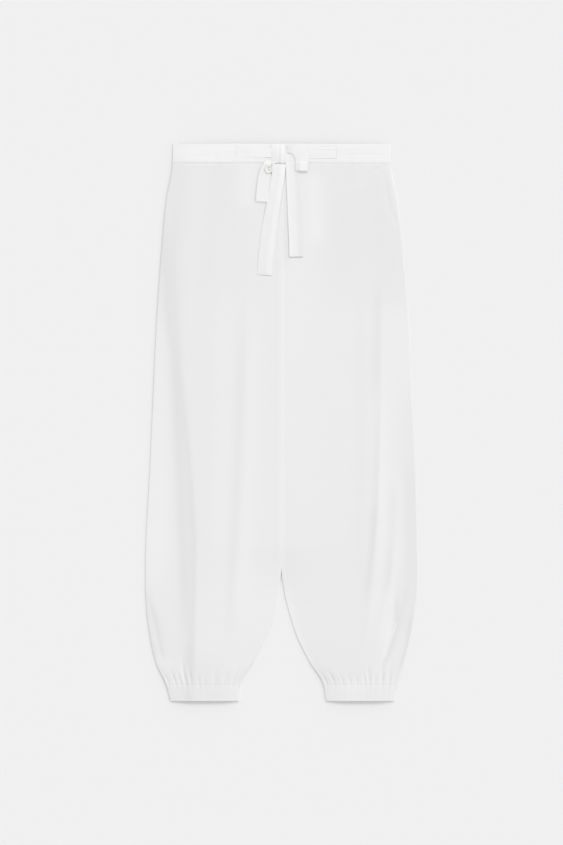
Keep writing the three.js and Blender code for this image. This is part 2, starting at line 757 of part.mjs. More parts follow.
const trousers = new THREE.Group();

const panels = new THREE.Group();
panels.add(frontPanel('front_right', LEGS.right));
panels.add(frontPanel('front_left', LEGS.left));
panels.add(backPanel('back_right', LEGS.right));
panels.add(backPanel('back_left', LEGS.left));
trousers.add(panels);

const bands = new THREE.Group();
bands.add(waistbandFront('waistband_front'));
bands.add(waistbandBack('waistband_back'));
bands.add(cuff('cuff_right', LEGS.right));
bands.add(cuff('cuff_left', LEGS.left));
trousers.add(bands);

const tie = new THREE.Group();
tie.add(flatRibbon('tie_run_right', RUN_RIGHT, 6));
tie.add(flatRibbon('tie_run_left', RUN_LEFT, 8));
tie.add(flatRibbon('tie_tail_right', TAIL_RIGHT, 16));
tie.add(flatRibbon('tie_tail_left', TAIL_LEFT, 14));
tie.add(foldedLoop('tie_loop_right', LOOP_RIGHT, 9, LOOP_RIGHT_FLOOR));
tie.add(foldedLoop('tie_loop_left', LOOP_LEFT, 9, LOOP_LEFT_FLOOR));
tie.add(knot('tie_knot'));
tie.add(button('button'));
trousers.add(tie);

export default trousers;
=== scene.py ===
import math

import bmesh
import bpy
import numpy as np
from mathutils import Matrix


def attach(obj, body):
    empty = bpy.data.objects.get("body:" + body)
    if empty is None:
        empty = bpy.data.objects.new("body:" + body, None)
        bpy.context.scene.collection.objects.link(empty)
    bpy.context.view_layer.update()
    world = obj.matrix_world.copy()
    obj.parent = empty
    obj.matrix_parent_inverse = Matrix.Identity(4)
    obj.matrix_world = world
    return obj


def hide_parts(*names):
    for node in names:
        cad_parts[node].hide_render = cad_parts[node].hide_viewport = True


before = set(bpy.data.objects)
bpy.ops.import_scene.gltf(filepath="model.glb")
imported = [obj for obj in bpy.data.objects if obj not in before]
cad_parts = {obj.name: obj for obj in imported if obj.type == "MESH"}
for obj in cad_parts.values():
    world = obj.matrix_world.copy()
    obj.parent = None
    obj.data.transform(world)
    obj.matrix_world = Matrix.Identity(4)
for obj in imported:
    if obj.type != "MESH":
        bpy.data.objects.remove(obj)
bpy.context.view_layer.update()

# ---- Floor, light and camera --------------------------------------------------------------------
# The trousers lie face up on a pale matt floor. The room's soft light is a little stronger from
# beyond the waist and from the wearer's left, one lamp adds to it, and the camera looks down.

FLOOR_SIZE = 14.0
FLOOR_GREY = 0.868
ROOM_LIGHT = 0.866
ROOM_LIGHT_ACROSS = 0.42
ROOM_LIGHT_ALONG = 0.3
LAMP_STRENGTH = 0.63
LAMP_SOFTNESS = 22
LAMP_HEIGHT_ANGLE = 44
LAMP_SIDE_ANGLE = 14
CAMERA_HEIGHT = 5.0
CAMERA_REACH = 100
VIEW_HEIGHT = 1.56325
SENSOR_HEIGHT = 24.0


def new_object(name, data):
    """An object in the scene that holds a mesh, a light or a camera."""
    thing = bpy.data.objects.new(name, data)
    bpy.context.scene.collection.objects.link(thing)
    return thing


def new_material(name, roughness, specular):
    """A material and its shader."""
    material = bpy.data.materials.new(name)
    material.use_nodes = True
    shader = material.node_tree.nodes["Principled BSDF"]
    shader.inputs["Roughness"].default_value = roughness
    shader.inputs["Specular IOR Level"].default_value = specular
    return material, shader


floor_mesh = bpy.data.meshes.new("floor")
floor_half = FLOOR_SIZE / 2
floor_mesh.from_pydata(
    [(sx * floor_half, sy * floor_half, 0) for sx, sy in ((-1, -1), (1, -1), (1, 1), (-1, 1))],
    [],
    [(0, 1, 2, 3)],
)
floor = new_object("floor", floor_mesh)
floor_paint, floor_shader = new_material("floor_paint", roughness=0.95, specular=0.0)
floor_shader.inputs["Base Color"].default_value = (FLOOR_GREY, FLOOR_GREY, FLOOR_GREY, 1)
floor_mesh.materials.append(floor_paint)


def combine(tree, operation, *values):
    """A Math node over sockets or plain numbers. Returns its output socket."""
    node = tree.nodes.new("ShaderNodeMath")
    node.operation = operation
    for k, value in enumerate(values):
        if isinstance(value, (int, float)):
            node.inputs[k].default_value = value
        else:
            tree.links.new(value, node.inputs[k])
    return node.outputs[0]


room = bpy.data.worlds.new("room")
room.use_nodes = True
room_tree = room.node_tree
direction = room_tree.nodes.new("ShaderNodeSeparateXYZ")
room_tree.links.new(room_tree.nodes.new("ShaderNodeTexCoord").outputs["Generated"], direction.inputs[0])
across_light = combine(room_tree, "MULTIPLY_ADD", direction.outputs["X"], ROOM_LIGHT_ACROSS, 1.0)
both_light = combine(room_tree, "MULTIPLY_ADD", direction.outputs["Y"], ROOM_LIGHT_ALONG, across_light)
strength = combine(room_tree, "MULTIPLY", both_light, ROOM_LIGHT)
room_tree.links.new(strength, room_tree.nodes["Background"].inputs["Strength"])
room_tree.nodes["Background"].inputs["Color"].default_value = (1, 1, 1, 1)
bpy.context.scene.world = room

lamp = new_object("lamp", bpy.data.lights.new("lamp", "SUN"))
lamp.data.energy = LAMP_STRENGTH
lamp.data.angle = math.radians(LAMP_SOFTNESS)
lamp.rotation_euler = (math.radians(LAMP_HEIGHT_ANGLE - 90), 0, math.radians(-LAMP_SIDE_ANGLE))

camera = new_object("camera", bpy.data.cameras.new("camera"))
camera.location = (0, 0, CAMERA_HEIGHT)
camera.data.sensor_fit = "VERTICAL"
camera.data.sensor_height = SENSOR_HEIGHT
camera.data.lens = SENSOR_HEIGHT * CAMERA_HEIGHT / VIEW_HEIGHT
camera.data.clip_end = CAMERA_REACH
bpy.context.scene.camera = camera
bpy.context.scene.view_settings.view_transform = "Standard"

# ---- Front panels -------------------------------------------------------------------------------
# Two panels of thin white plain-woven cloth, each cut in one from waistband to cuff. They are sewn
# to each other down the centre front, and to the backs at the side seams and inseams. "Across" is
# the distance from the centre seam and "down" the distance below the top of the waistband, in mm.

MM = 0.001

LENGTH = 1030
BAND_DEPTH = 35
CUFF_DEPTH = 30
CLOTH = 0.6

# At an edge the cloth turns over tightly and then swells slowly over a slope. Folds fade out over
# the roll beside it. Where the legs part by this much, the turn at their inner edges is whole.
EDGE_HEIGHT = 1.35
EDGE_TURN = 2.2
EDGE_ROLL = 7
INNER_SLOPE = 220
PARTED = 5
SEAM_RIDGE = {"at": 0.8, "right": 10, "left": 4, "height": 0.3}

# The ends of a panel go under the waistband and into the cuff.
TUCK = 5
TUCK_DROP = 0.46
TUCK_RUN = 4
TUCK_AT_CUFF = 1
PUCKER = 0.09
PUCKER_REACH = 16
PUCKER_WAVES = (5.3, 3.1)
PUCKER_DRIFT = 17

# Above its cuff a leg fills out to the cuff's own section, over the cuff's reach.
CUFF_HEIGHT = 7.4
CUFF_END = 1.45
CUFF_SWELL = 46
CUFF_TAPER = 0.1
CUFF_REACH = 60
FRONT_COLUMNS = 130
FRONT_ROWS = 350

OUTLINE_COLUMNS = ("down", "outer_right", "outer_left", "inner_right", "inner_left", "rise", "inner_share")
OUTLINE = np.array([
    (0, 201, 201, 0, 0, 7, 1),
    (35, 202, 202, 0, 0, 7.8, 1),
    (107, 214, 215, 0, 0, 8.8, 1),
    (207, 223, 225, 0, 0, 9.5, 1),
    (340, 232, 236, 0, 0, 9.8, 1),
    (474, 238, 241, 0, 0, 10, 0.94),
    (607, 244, 248, 0, 0, 10.2, 0.86),
    (740, 251, 251, 0, 0, 10.4, 0.62),
    (784, 252, 252, 0, 0, 10.5, 0.24),
    (802, 252, 252, 2.2, 1.4, 10.5, 0.12),
    (821, 252, 251, 5, 4.2, 10.5, 0.07),
    (836, 251.5, 250, 6.8, 6.4, 10.6, 0.05),
    (851, 250.5, 248, 9, 10.2, 10.6, 0.03),
    (870, 249, 245, 14, 15.4, 10.6, 0.04),
    (914, 243, 237, 30, 30, 10.6, 0.06),
    (958, 233, 226, 53, 52, 10.4, 0.06),
    (1000, 214, 215, 76, 77, 9.2, 0.12),
    (1030, 206, 208, 79, 82, 8.6, 0.12),
], dtype=float)

FOLD_COLUMNS = (
    "top", "top_across", "middle", "middle_across", "bottom", "bottom_across",
    "inward", "outward", "height",
)
FOLDS_RIGHT = (
    (250, 62, 520, 69, 960, 93, 20, 13, 2),
    (60, 128, 420, 124, 900, 128, 24, 30, 1.1),
)
FOLDS_LEFT = (
    (560, 222, 720, 226, 860, 222, 20, 15, -1.6),
    (38, 186, 55, 162, 82, 140, 7, 9, -0.6),
)
FOLD_FADE = 0.25

# A crease is a sharper bend, given by its places down the leg. A step is a crease beyond which the
# cloth lies lower, by a share of its own height.
CREASE_COLUMNS = ("down", "across", "inward", "outward", "height")
CREASES_RIGHT = (
    (
        (840, 246, 5, 6, 0), (862, 240, 5, 6, -0.8), (885, 233, 5, 6, -1.1), (900, 229.5, 5, 6, -1.1),
        (918, 225.5, 5, 6, -1), (945, 220, 5, 6, -0.4), (965, 214, 5, 6, 0),
    ),
)
CREASES_LEFT = (
    (
        (230, 187, 10, 26, 0), (359, 184, 7, 24, 1), (448, 184, 7, 18, 1.3), (536, 182, 7, 11, 2),
        (603, 181, 8, 9, 2.4), (670, 178, 8, 8, 2.3), (714, 175, 8, 9, 2.1), (758, 171, 9, 12, 2),
        (803, 166, 9, 14, 1.7), (880, 160, 10, 14, 1), (950, 150, 10, 14, 0),
    ),
    (
        (720, 205, 5, 14, 0), (758, 205, 5, 14, 0.8), (803, 202, 5, 14, 1), (847, 191, 5, 14, 0.8),
        (892, 180, 5, 14, 0.5), (940, 168, 5, 14, 0),
    ),
    (
        (770, 216, 14, 12, 0), (803, 211, 14, 12, -1.2), (847, 208, 13, 12, -2), (880, 205, 12, 12, -2),
        (918, 200, 10, 10, -0.8), (950, 195, 8, 8, 0),
    ),
    (
        (815, 230, 6, 8, 0), (847, 222, 6, 8, -1.2), (880, 214, 6, 8, -1.9), (905, 208, 6, 8, -2.3),
        (936, 197, 6, 7, -2.4), (955, 191.5, 6, 7, -2), (981, 177, 5, 6, -1), (1000, 171, 5, 6, 0),
    ),
    ((50, 188, 4, 6, 0), (75, 192, 4, 6, -0.5), (113, 198, 4, 7, -0.5), (165, 221, 4, 7, 0)),
)
CREASE_SOFT = 2.5
STEP_COLUMNS = ("down", "across", "run", "share", "soft")
STEPS_RIGHT = (
    (
        (50, 186, 16, 0, 12), (122, 190, 13, 0.4, 8), (211, 199, 11, 0.58, 6),
        (300, 193.5, 13, 0.61, 5.5), (388, 188, 15, 0.64, 5), (477, 178.5, 16, 0.7, 4),
        (566, 169, 19, 0.74, 3.2), (655, 162, 20, 0.78, 2.6), (744, 157.5, 20, 0.8, 2),
        (832, 158.5, 18, 0.79, 2), (921, 161, 15, 0.72, 2), (1010, 161, 13, 0.55, 2),
    ),
    (
        (800, 250, 4, 0, 2), (830, 246, 4, 0.1, 2), (877, 229.5, 4, 0.2, 2), (921, 224, 4, 0.2, 2),
        (964, 214.5, 4, 0.12, 2), (1000, 208, 4, 0, 2),
    ),
)
STEPS_LEFT = ()

GATHER_COLUMNS = ("at", "width", "depth", "length")
GATHERS_RIGHT = (
    (0.04, 2.4, 1.7, 30), (0.11, 3.2, 2, 34), (0.17, 2, 0.9, 18), (0.225, 4, 1.6, 44), (0.29, 2.2, 0.9, 20),
    (0.352, 4.4, 1.7, 50), (0.42, 2.2, 1, 18), (0.479, 2.6, 1.8, 24), (0.556, 2.4, 1.9, 28),
    (0.605, 2, 1, 20), (0.655, 2.8, 2.5, 52), (0.725, 2.8, 2.6, 60), (0.796, 2.4, 1.8, 30),
    (0.866, 2.4, 2.1, 34), (0.91, 2, 1, 20), (0.955, 2.4, 1.8, 26),
)
GATHERS_LEFT = (
    (0.05, 2.4, 1.8, 28), (0.1, 2, 0.9, 18), (0.15, 3.2, 2.2, 34), (0.21, 2, 1, 20), (0.267, 2.8, 1.8, 26),
    (0.363, 2.4, 1.7, 28), (0.41, 2, 0.9, 18), (0.452, 2.4, 1.8, 24), (0.5, 2, 0.9, 18),
    (0.555, 2.4, 2.4, 30), (0.616, 2.8, 2.1, 48), (0.69, 2.8, 1.8, 26), (0.735, 2, 1, 20),
    (0.78, 3.2, 2.6, 52), (0.83, 2, 0.9, 20), (0.87, 3.2, 2.2, 46), (0.945, 2.4, 1.8, 30),
)
GATHER_TAPER = 1.5
GATHER_AT_SEAM = 0.3
GATHER_GROWTH = 14

# Painted light and shade: bands where the cloth's colour is made lighter or darker along the folds, the
# centre seam and the edges, standing in for the light and shade that falls there. The columns are those of
# the folds, and the last is the change of tone.
PAINTED_LIGHT_SHADE_RIGHT = (
    (240, 232, 520, 226, 880, 226, 26, 60, 4.5),
    (-200, 110, 120, 115, 330, 120, 40, 40, -2.5),
    (20, 60, 62, 63, 130, 68, 18, 20, 3),
    (-200, 0, 400, 0, 1000, 0, 5, 5, 3.5),
    (120, 218, 210, 216, 400, 203, 8, 8, -4.5),
    (300, 206, 560, 191, 960, 174, 9, 9, -4.5),
    (800, 250, 900, 243, 980, 226, 7, 7, -5),
    (900, 172, 960, 172, 1100, 172, 8, 7, -4.5),
    (985, 200, 1015, 200, 1045, 200, 16, 14, 4),
    (850, 243, 905, 230, 965, 216, 3.5, 4, -6.5),
    (940, 226, 975, 215, 1010, 204, 16, 12, 3.5),
)
PAINTED_LIGHT_SHADE_LEFT = (
    (-200, 110, 120, 115, 330, 120, 50, 45, -3),
    (230, 146, 450, 148, 900, 140, 16, 14, -2),
    (10, 180, 120, 190, 340, 205, 44, 60, -4),
    (20, 196, 60, 204, 170, 226, 5, 14, 5),
    (380, 250, 620, 252, 1000, 232, 34, 20, -4),
    (-200, 20, 500, 30, 1200, 60, 60, 50, 1.5),
    (40, 58, 115, 61, 200, 62, 12, 18, 3.5),
    (70, 6, 170, 6, 250, 6, 6, 6, -3.5),
    (-200, 0, 400, 0, 1000, 0, 4, 4, 3),
    (250, 180, 370, 176, 480, 172, 10, 8, -3.5),
    (640, 176, 730, 170, 860, 158, 8, 8, -4.5),
    (600, 208, 740, 203, 860, 190, 8, 8, -4.5),
    (860, 241, 930, 231, 985, 213, 5, 6, -6),
    (985, 118, 1015, 116, 1045, 114, 60, 60, 4),
    (820, 216, 900, 210, 985, 178, 4, 5, -5.5),
    (800, 3, 914, 31, 1010, 80, 8, 9, 4),
)
# Painted shade: a darker strip along each leg's outer edge, and darker cloth on the legs near the cuffs.
EDGE_PAINTED_SHADE = -3
EDGE_PAINTED_SHADE_WIDTH = 3
CUFF_PAINTED_SHADE = -4
CUFF_PAINTED_SHADE_REACH = 80
# How much one unit of painted light and shade changes the cloth's colour.
TONE_STEP = 0.0098

LEGS = {
    "right": {
        "sign": -1, "outer_slope": 60, "turn_share": 0.2, "folds": FOLDS_RIGHT,
        "creases": CREASES_RIGHT, "steps": STEPS_RIGHT, "gathers": GATHERS_RIGHT, "painted_light_shade": PAINTED_LIGHT_SHADE_RIGHT,
    },
    "left": {
        "sign": 1, "outer_slope": 190, "turn_share": 0.16, "folds": FOLDS_LEFT,
        "creases": CREASES_LEFT, "steps": STEPS_LEFT, "gathers": GATHERS_LEFT, "painted_light_shade": PAINTED_LIGHT_SHADE_LEFT,
    },
}


def smooth(value):
    t = np.clip(value, 0, 1)
    return t * t * (3 - 2 * t)


def quarter_round(value):
    t = np.clip(value, 0, 1)
    return np.sqrt(1 - (1 - t) ** 2)


def bell(distance, width):
    return np.exp(-((distance / width) ** 2))


def through(places, values, at):
    """A smooth curve through the values at the places, which never overshoots."""
    places = np.asarray(places, dtype=float)
    values = np.asarray(values, dtype=float)
    slopes = np.diff(values) / np.diff(places)
    tangents = np.concatenate([slopes[:1], np.zeros(len(slopes) - 1), slopes[-1:]])
    product = slopes[:-1] * slopes[1:]
    total = np.where(product > 0, slopes[:-1] + slopes[1:], 1)
    tangents[1:-1] = np.where(product > 0, 2 * product / total, 0)
    at = np.clip(np.asarray(at, dtype=float), places[0], places[-1])
    k = np.clip(np.searchsorted(places, at, side="right") - 1, 0, len(slopes) - 1)
    span = places[k + 1] - places[k]
    t = (at - places[k]) / span
    rest = 1 - t
    return (
        values[k] * rest * rest * (1 + 2 * t)
        + values[k + 1] * t * t * (1 + 2 * rest)
        + tangents[k] * span * t * rest * rest
        - tangents[k + 1] * span * t * t * rest
    )


def outline(column, down):
    return through(OUTLINE[:, 0], OUTLINE[:, OUTLINE_COLUMNS.index(column)], down)


def parting(side, down):
    """0 where the legs lie against each other, 1 where the gap between them is wide."""
    return smooth(outline("inner_" + side, down) / PARTED)


def edge_rise(distance, slope, turn_share):
    """How far a surface has risen at a distance from its edge: a tight turn, then a slow slope."""
    slow = 1 - (1 - np.clip(distance / slope, 0, 1)) ** 2
    return turn_share * quarter_round(distance / EDGE_TURN) + (1 - turn_share) * slow


def fold_height(row, across, down):
    fold = dict(zip(FOLD_COLUMNS, row))
    line = through(
        (fold["top"], fold["middle"], fold["bottom"]),
        (fold["top_across"], fold["middle_across"], fold["bottom_across"]),
        down,
    )
    offset = across - line
    width = np.where(offset < 0, fold["inward"], fold["outward"])
    part = (down - fold["top"]) / (fold["bottom"] - fold["top"])
    return fold["height"] * bell(offset, width) * smooth(part / FOLD_FADE) * smooth((1 - part) / FOLD_FADE)


def read_table(columns, rows, down):
    """The columns of a crease's or step's table, read at each distance down."""
    table = np.array(rows, dtype=float)
    return {name: through(table[:, 0], table[:, k], down) for k, name in enumerate(columns)}


def crease_height(rows, across, down):
    crease = read_table(CREASE_COLUMNS, rows, down)
    offset = across - crease["across"]
    width = np.where(offset < 0, crease["inward"], crease["outward"])
    away = np.sqrt(offset * offset + CREASE_SOFT**2) - CREASE_SOFT
    return crease["height"] * np.exp(-away / width)


def step_share(rows, across, down):
    """The share of a surface's height that is left beyond a step."""
    step = read_table(STEP_COLUMNS, rows, down)
    offset = across - step["across"]
    beyond = (offset + np.sqrt(offset * offset + step["soft"] ** 2)) / 2
    return 1 - step["share"] * (1 - np.exp(-beyond / step["run"]))


def gather_height(side, across, down):
    inner = outline("inner_" + side, down)
    outer = outline("outer_" + side, down)
    above = np.maximum(LENGTH - CUFF_DEPTH - down, 0)
    height = np.zeros(np.broadcast(across, down).shape)
    for row in LEGS[side]["gathers"]:
        gather = dict(zip(GATHER_COLUMNS, row))
        offset = across - (inner + gather["at"] * (outer - inner))
        fade = np.clip(1 - above / gather["length"], 0, 1) ** GATHER_TAPER
        fade = fade * (GATHER_AT_SEAM + (1 - GATHER_AT_SEAM) * smooth(above / GATHER_GROWTH))
        height = height - gather["depth"] * bell(offset, gather["width"]) * fade
    return height


def cuff_top(from_inner, from_outer):
    """Height of the upper side of a cuff, which is pressed thin at its two folded ends."""
    nearest = np.minimum(from_inner, from_outer)
    swell = 1 - (1 - np.clip(nearest / CUFF_SWELL, 0, 1)) ** 2
    return CUFF_END * (1 + quarter_round(nearest / CUFF_END)) + (CUFF_HEIGHT - 2 * CUFF_END) * swell


def pucker_height(across, down):
    """Small uneven ripples where the waist seam draws the cloth in."""
    drift = 1.1 * np.sin(across / PUCKER_DRIFT)
    ripple = np.sin(across / PUCKER_WAVES[0] + drift) + 0.6 * np.sin(across / PUCKER_WAVES[1] + 2)
    return PUCKER * ripple * np.exp(-np.abs(down - BAND_DEPTH) / PUCKER_REACH)


def front_height(side, across, down):
    """Height of the upper side of a front, without its tucked-in ends."""
    leg = LEGS[side]
    from_inner = across - outline("inner_" + side, down)
    from_outer = outline("outer_" + side, down) - across
    apart = parting(side, down)
    kept = outline("inner_share", down) * (1 - apart * (1 - quarter_round(from_inner / EDGE_TURN)))
    inner_shape = kept + (1 - outline("inner_share", down)) * edge_rise(from_inner, INNER_SLOPE, 0)
    shape = inner_shape * edge_rise(from_outer, leg["outer_slope"], leg["turn_share"])
    for rows in leg["steps"]:
        shape = shape * step_share(rows, across, down)
    near_cuff = smooth((down - (LENGTH - CUFF_DEPTH - CUFF_REACH)) / CUFF_REACH)
    swelling = outline("rise", down) - EDGE_HEIGHT
    at_cuff = (cuff_top(from_inner, from_outer) - EDGE_HEIGHT) / swelling
    shape = shape + (at_cuff - shape) * near_cuff
    relief = gather_height(side, across, down) + pucker_height(across, down)
    for row in leg["folds"]:
        relief = relief + fold_height(row, across, down)
    for rows in leg["creases"]:
        relief = relief + crease_height(rows, across, down)
    held = smooth(from_inner / EDGE_ROLL) * smooth(from_outer / EDGE_ROLL)
    from_ridge = leg["sign"] * across - SEAM_RIDGE["at"]
    ridge_width = np.where(from_ridge < 0, SEAM_RIDGE["right"], SEAM_RIDGE["left"])
    ridge = SEAM_RIDGE["height"] * bell(from_ridge, ridge_width)
    return EDGE_HEIGHT + swelling * shape + relief * held + ridge * (1 - apart)


def tucked(down):
    """1 on the panel's own surface, falling to 0 where its ends go under waistband and cuff."""
    to_cuff = LENGTH - CUFF_DEPTH + TUCK_AT_CUFF - down
    return smooth((down - BAND_DEPTH) / TUCK_RUN) * smooth(to_cuff / TUCK_RUN)


def spread(count, roll):
    """Places from 0 to 1, crowded near both ends, where the cloth rolls round."""
    t = np.linspace(0, 1, count)
    eased = (1 - np.cos(np.pi * t)) / 2
    return t * (1 - roll) + eased * roll


def surface(name, points, thickness=0.0, round_it=False, painted_light_shade=None):
    """A smooth mesh over a grid of points in millimetres, given a thickness on its underside.
    "painted_light_shade" is the painted light and shade at each point, as a change of tone."""
    rows, columns = points.shape[:2]
    i, j = np.meshgrid(np.arange(rows - 1), np.arange(columns if round_it else columns - 1), indexing="ij")
    after = (j + 1) % columns
    first, second = i * columns, (i + 1) * columns
    faces = np.stack([first + j, second + j, second + after, first + after], -1)
    mesh = bpy.data.meshes.new(name)
    mesh.from_pydata((points.reshape(-1, 3) * MM).tolist(), [], faces.reshape(-1, 4).tolist())
    if painted_light_shade is not None:
        tone = mesh.attributes.new("painted_light_shade", "FLOAT", "POINT")
        tone.data.foreach_set("value", painted_light_shade.ravel().astype(np.float32))
    if round_it:
        weld = bmesh.new()
        weld.from_mesh(mesh)
        bmesh.ops.remove_doubles(weld, verts=weld.verts, dist=1e-8)
        weld.to_mesh(mesh)
        weld.free()
    mesh.polygons.foreach_set("use_smooth", [True] * len(mesh.polygons))
    piece = new_object(name, mesh)
    if thickness:
        shell = piece.modifiers.new("cloth", "SOLIDIFY")
        shell.thickness = thickness * MM
        shell.offset = -1
    return piece


def dress(piece, material, slot, *nodes):
    """Gives a piece its material and body, and hides the plain solids that it stands for. Its slot is not
    used.
    """
    piece.data.materials.append(material)
    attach(piece, "root")
    if nodes:
        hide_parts(*nodes)


def new_group(name, inputs, outputs):
    group = bpy.data.node_groups.new(name, "ShaderNodeTree")
    for label, kind, value in inputs:
        socket = group.interface.new_socket(label, in_out="INPUT", socket_type=kind)
        socket.default_value = value
    for label, kind in outputs:
        group.interface.new_socket(label, in_out="OUTPUT", socket_type=kind)
    return group, group.nodes.new("NodeGroupInput"), group.nodes.new("NodeGroupOutput")


def weave_group():
    """Plain weave: threads that pass over and under each other by turns."""
    group, given, result = new_group(
        "plain weave",
        [("Place", "NodeSocketVector", (0, 0, 0)), ("Threads per metre", "NodeSocketFloat", 2000)],
        [("Height", "NodeSocketFloat")],
    )
    split = group.nodes.new("ShaderNodeSeparateXYZ")
    group.links.new(given.outputs["Place"], split.inputs[0])
    turns = combine(group, "MULTIPLY", given.outputs["Threads per metre"], math.pi)
    warp = combine(group, "SINE", combine(group, "MULTIPLY", split.outputs["X"], turns))
    weft = combine(group, "SINE", combine(group, "MULTIPLY", split.outputs["Y"], turns))
    group.links.new(combine(group, "MULTIPLY", warp, weft), result.inputs["Height"])
    return group


# The sockets of a Mix node's two colours and of their mixture.
MIX_FIRST, MIX_SECOND, MIXED = 6, 7, 2


def tone_group():
    """Slow changes of tone where the cloth is thinner, or has been handled and pressed, scaled by the
    painted light and shade that the mesh carries.
    """
    group, given, result = new_group(
        "cloth tone",
        [
            ("Place", "NodeSocketVector", (0, 0, 0)),
            ("Colour", "NodeSocketColor", (1, 1, 1, 1)),
            ("Shade", "NodeSocketColor", (1, 1, 1, 1)),
            ("Patches per metre", "NodeSocketFloat", 14),
            ("Painted light and shade", "NodeSocketFloat", 0),
        ],
        [("Colour", "NodeSocketColor")],
    )
    noise = group.nodes.new("ShaderNodeTexNoise")
    noise.inputs["Detail"].default_value = 3
    group.links.new(given.outputs["Place"], noise.inputs["Vector"])
    group.links.new(given.outputs["Patches per metre"], noise.inputs["Scale"])
    mix = group.nodes.new("ShaderNodeMix")
    mix.data_type = "RGBA"
    group.links.new(noise.outputs["Fac"], mix.inputs["Factor"])
    group.links.new(given.outputs["Colour"], mix.inputs[MIX_FIRST])
    group.links.new(given.outputs["Shade"], mix.inputs[MIX_SECOND])
    # Painted light and shade: the colour is scaled up or down by it.
    gain = combine(group, "MULTIPLY_ADD", given.outputs["Painted light and shade"], TONE_STEP, 1.0)
    scaled = group.nodes.new("ShaderNodeVectorMath")
    scaled.operation = "SCALE"
    group.links.new(mix.outputs[MIXED], scaled.inputs[0])
    group.links.new(gain, scaled.inputs["Scale"])
    group.links.new(scaled.outputs[0], result.inputs["Colour"])
    return group


def crumple_group():
    """Small soft crumples that a light cloth keeps after pressing."""
    group, given, result = new_group(
        "soft crumple",
        [("Place", "NodeSocketVector", (0, 0, 0)), ("Crumples per metre", "NodeSocketFloat", 90)],
        [("Height", "NodeSocketFloat")],
    )
    noise = group.nodes.new("ShaderNodeTexNoise")
    noise.inputs["Detail"].default_value = 2
    noise.inputs["Distortion"].default_value = 0.4
    group.links.new(given.outputs["Place"], noise.inputs["Vector"])
    group.links.new(given.outputs["Crumples per metre"], noise.inputs["Scale"])
    group.links.new(noise.outputs["Fac"], result.inputs["Height"])
    return group


def group_node(tree, group, place):
    """A group's node in a material's tree, which reads the pattern at the given place."""
    node = tree.nodes.new("ShaderNodeGroup")
    node.node_tree = group
    tree.links.new(place, node.inputs["Place"])
    return node


WEAVE = weave_group()
TONE = tone_group()
CRUMPLE = crumple_group()
THREADS = 2200
CLOTH_ROUGHNESS = 0.86
CLOTH_SPECULAR = 0.22
SHEEN_ROUGHNESS = 0.45
SHEEN_TINT = (1, 1, 1, 1)
LIGHT_TONE = (1.006, 1.006, 1.006)
SHADE_TONE = (0.992, 0.992, 0.994)


def cloth_material(name, grey, threads, thread_height, crumple_height, sheen):
    """Woven white cloth. Heights are in millimetres, "threads" is their number in a metre, and
    "grey" is how much light the cloth returns."""
    material, shader = new_material(name, CLOTH_ROUGHNESS, CLOTH_SPECULAR)
    tree = material.node_tree
    shader.inputs["Sheen Weight"].default_value = sheen
    shader.inputs["Sheen Roughness"].default_value = SHEEN_ROUGHNESS
    shader.inputs["Sheen Tint"].default_value = SHEEN_TINT
    place = tree.nodes.new("ShaderNodeTexCoord").outputs["Object"]

    tone = group_node(tree, TONE, place)
    tone.inputs["Colour"].default_value = (*(grey * part for part in LIGHT_TONE), 1)
    tone.inputs["Shade"].default_value = (*(grey * part for part in SHADE_TONE), 1)
    # The painted light and shade that each mesh carries.
    painted_light_shade = tree.nodes.new("ShaderNodeAttribute")
    painted_light_shade.attribute_name = "painted_light_shade"
    tree.links.new(painted_light_shade.outputs["Fac"], tone.inputs["Painted light and shade"])
    tree.links.new(tone.outputs["Colour"], shader.inputs["Base Color"])

    weave = group_node(tree, WEAVE, place)
    weave.inputs["Threads per metre"].default_value = threads
    crumple = group_node(tree, CRUMPLE, place)
    woven = combine(tree, "MULTIPLY", weave.outputs["Height"], thread_height)
    crumpled = combine(tree, "MULTIPLY", crumple.outputs["Height"], crumple_height)
    height = combine(tree, "ADD", woven, crumpled)
    bump = tree.nodes.new("ShaderNodeBump")
    bump.inputs["Distance"].default_value = MM
    tree.links.new(height, bump.inputs["Height"])
    tree.links.new(bump.outputs["Normal"], shader.inputs["Normal"])
    return material


def panel_grid(side, rows, columns, roll):
    """Distances across and down a panel, closer together at its edges and its two sewn ends, and
    its inner and outer edge at each."""
    top = BAND_DEPTH - TUCK
    bottom = LENGTH - CUFF_DEPTH + TUCK
    down = (top + (bottom - top) * spread(rows, 0.75))[:, None] + np.zeros((1, columns))
    inner = outline("inner_" + side, down)
    outer = outline("outer_" + side, down)
    return inner + (outer - inner) * spread(columns, roll)[None, :], down, inner, outer


def panel_area(side):
    """Area of the laid-out panel in square metres, found in thin strips."""
    down = np.linspace(BAND_DEPTH, LENGTH - CUFF_DEPTH, 200)
    width = outline("outer_" + side, down) - outline("inner_" + side, down)
    return float(np.mean(width) * (down[-1] - down[0])) * MM * MM


cloth = cloth_material(
    "white_cloth", grey=0.832, threads=THREADS, thread_height=0.012, crumple_height=0.12, sheen=0.12,
)

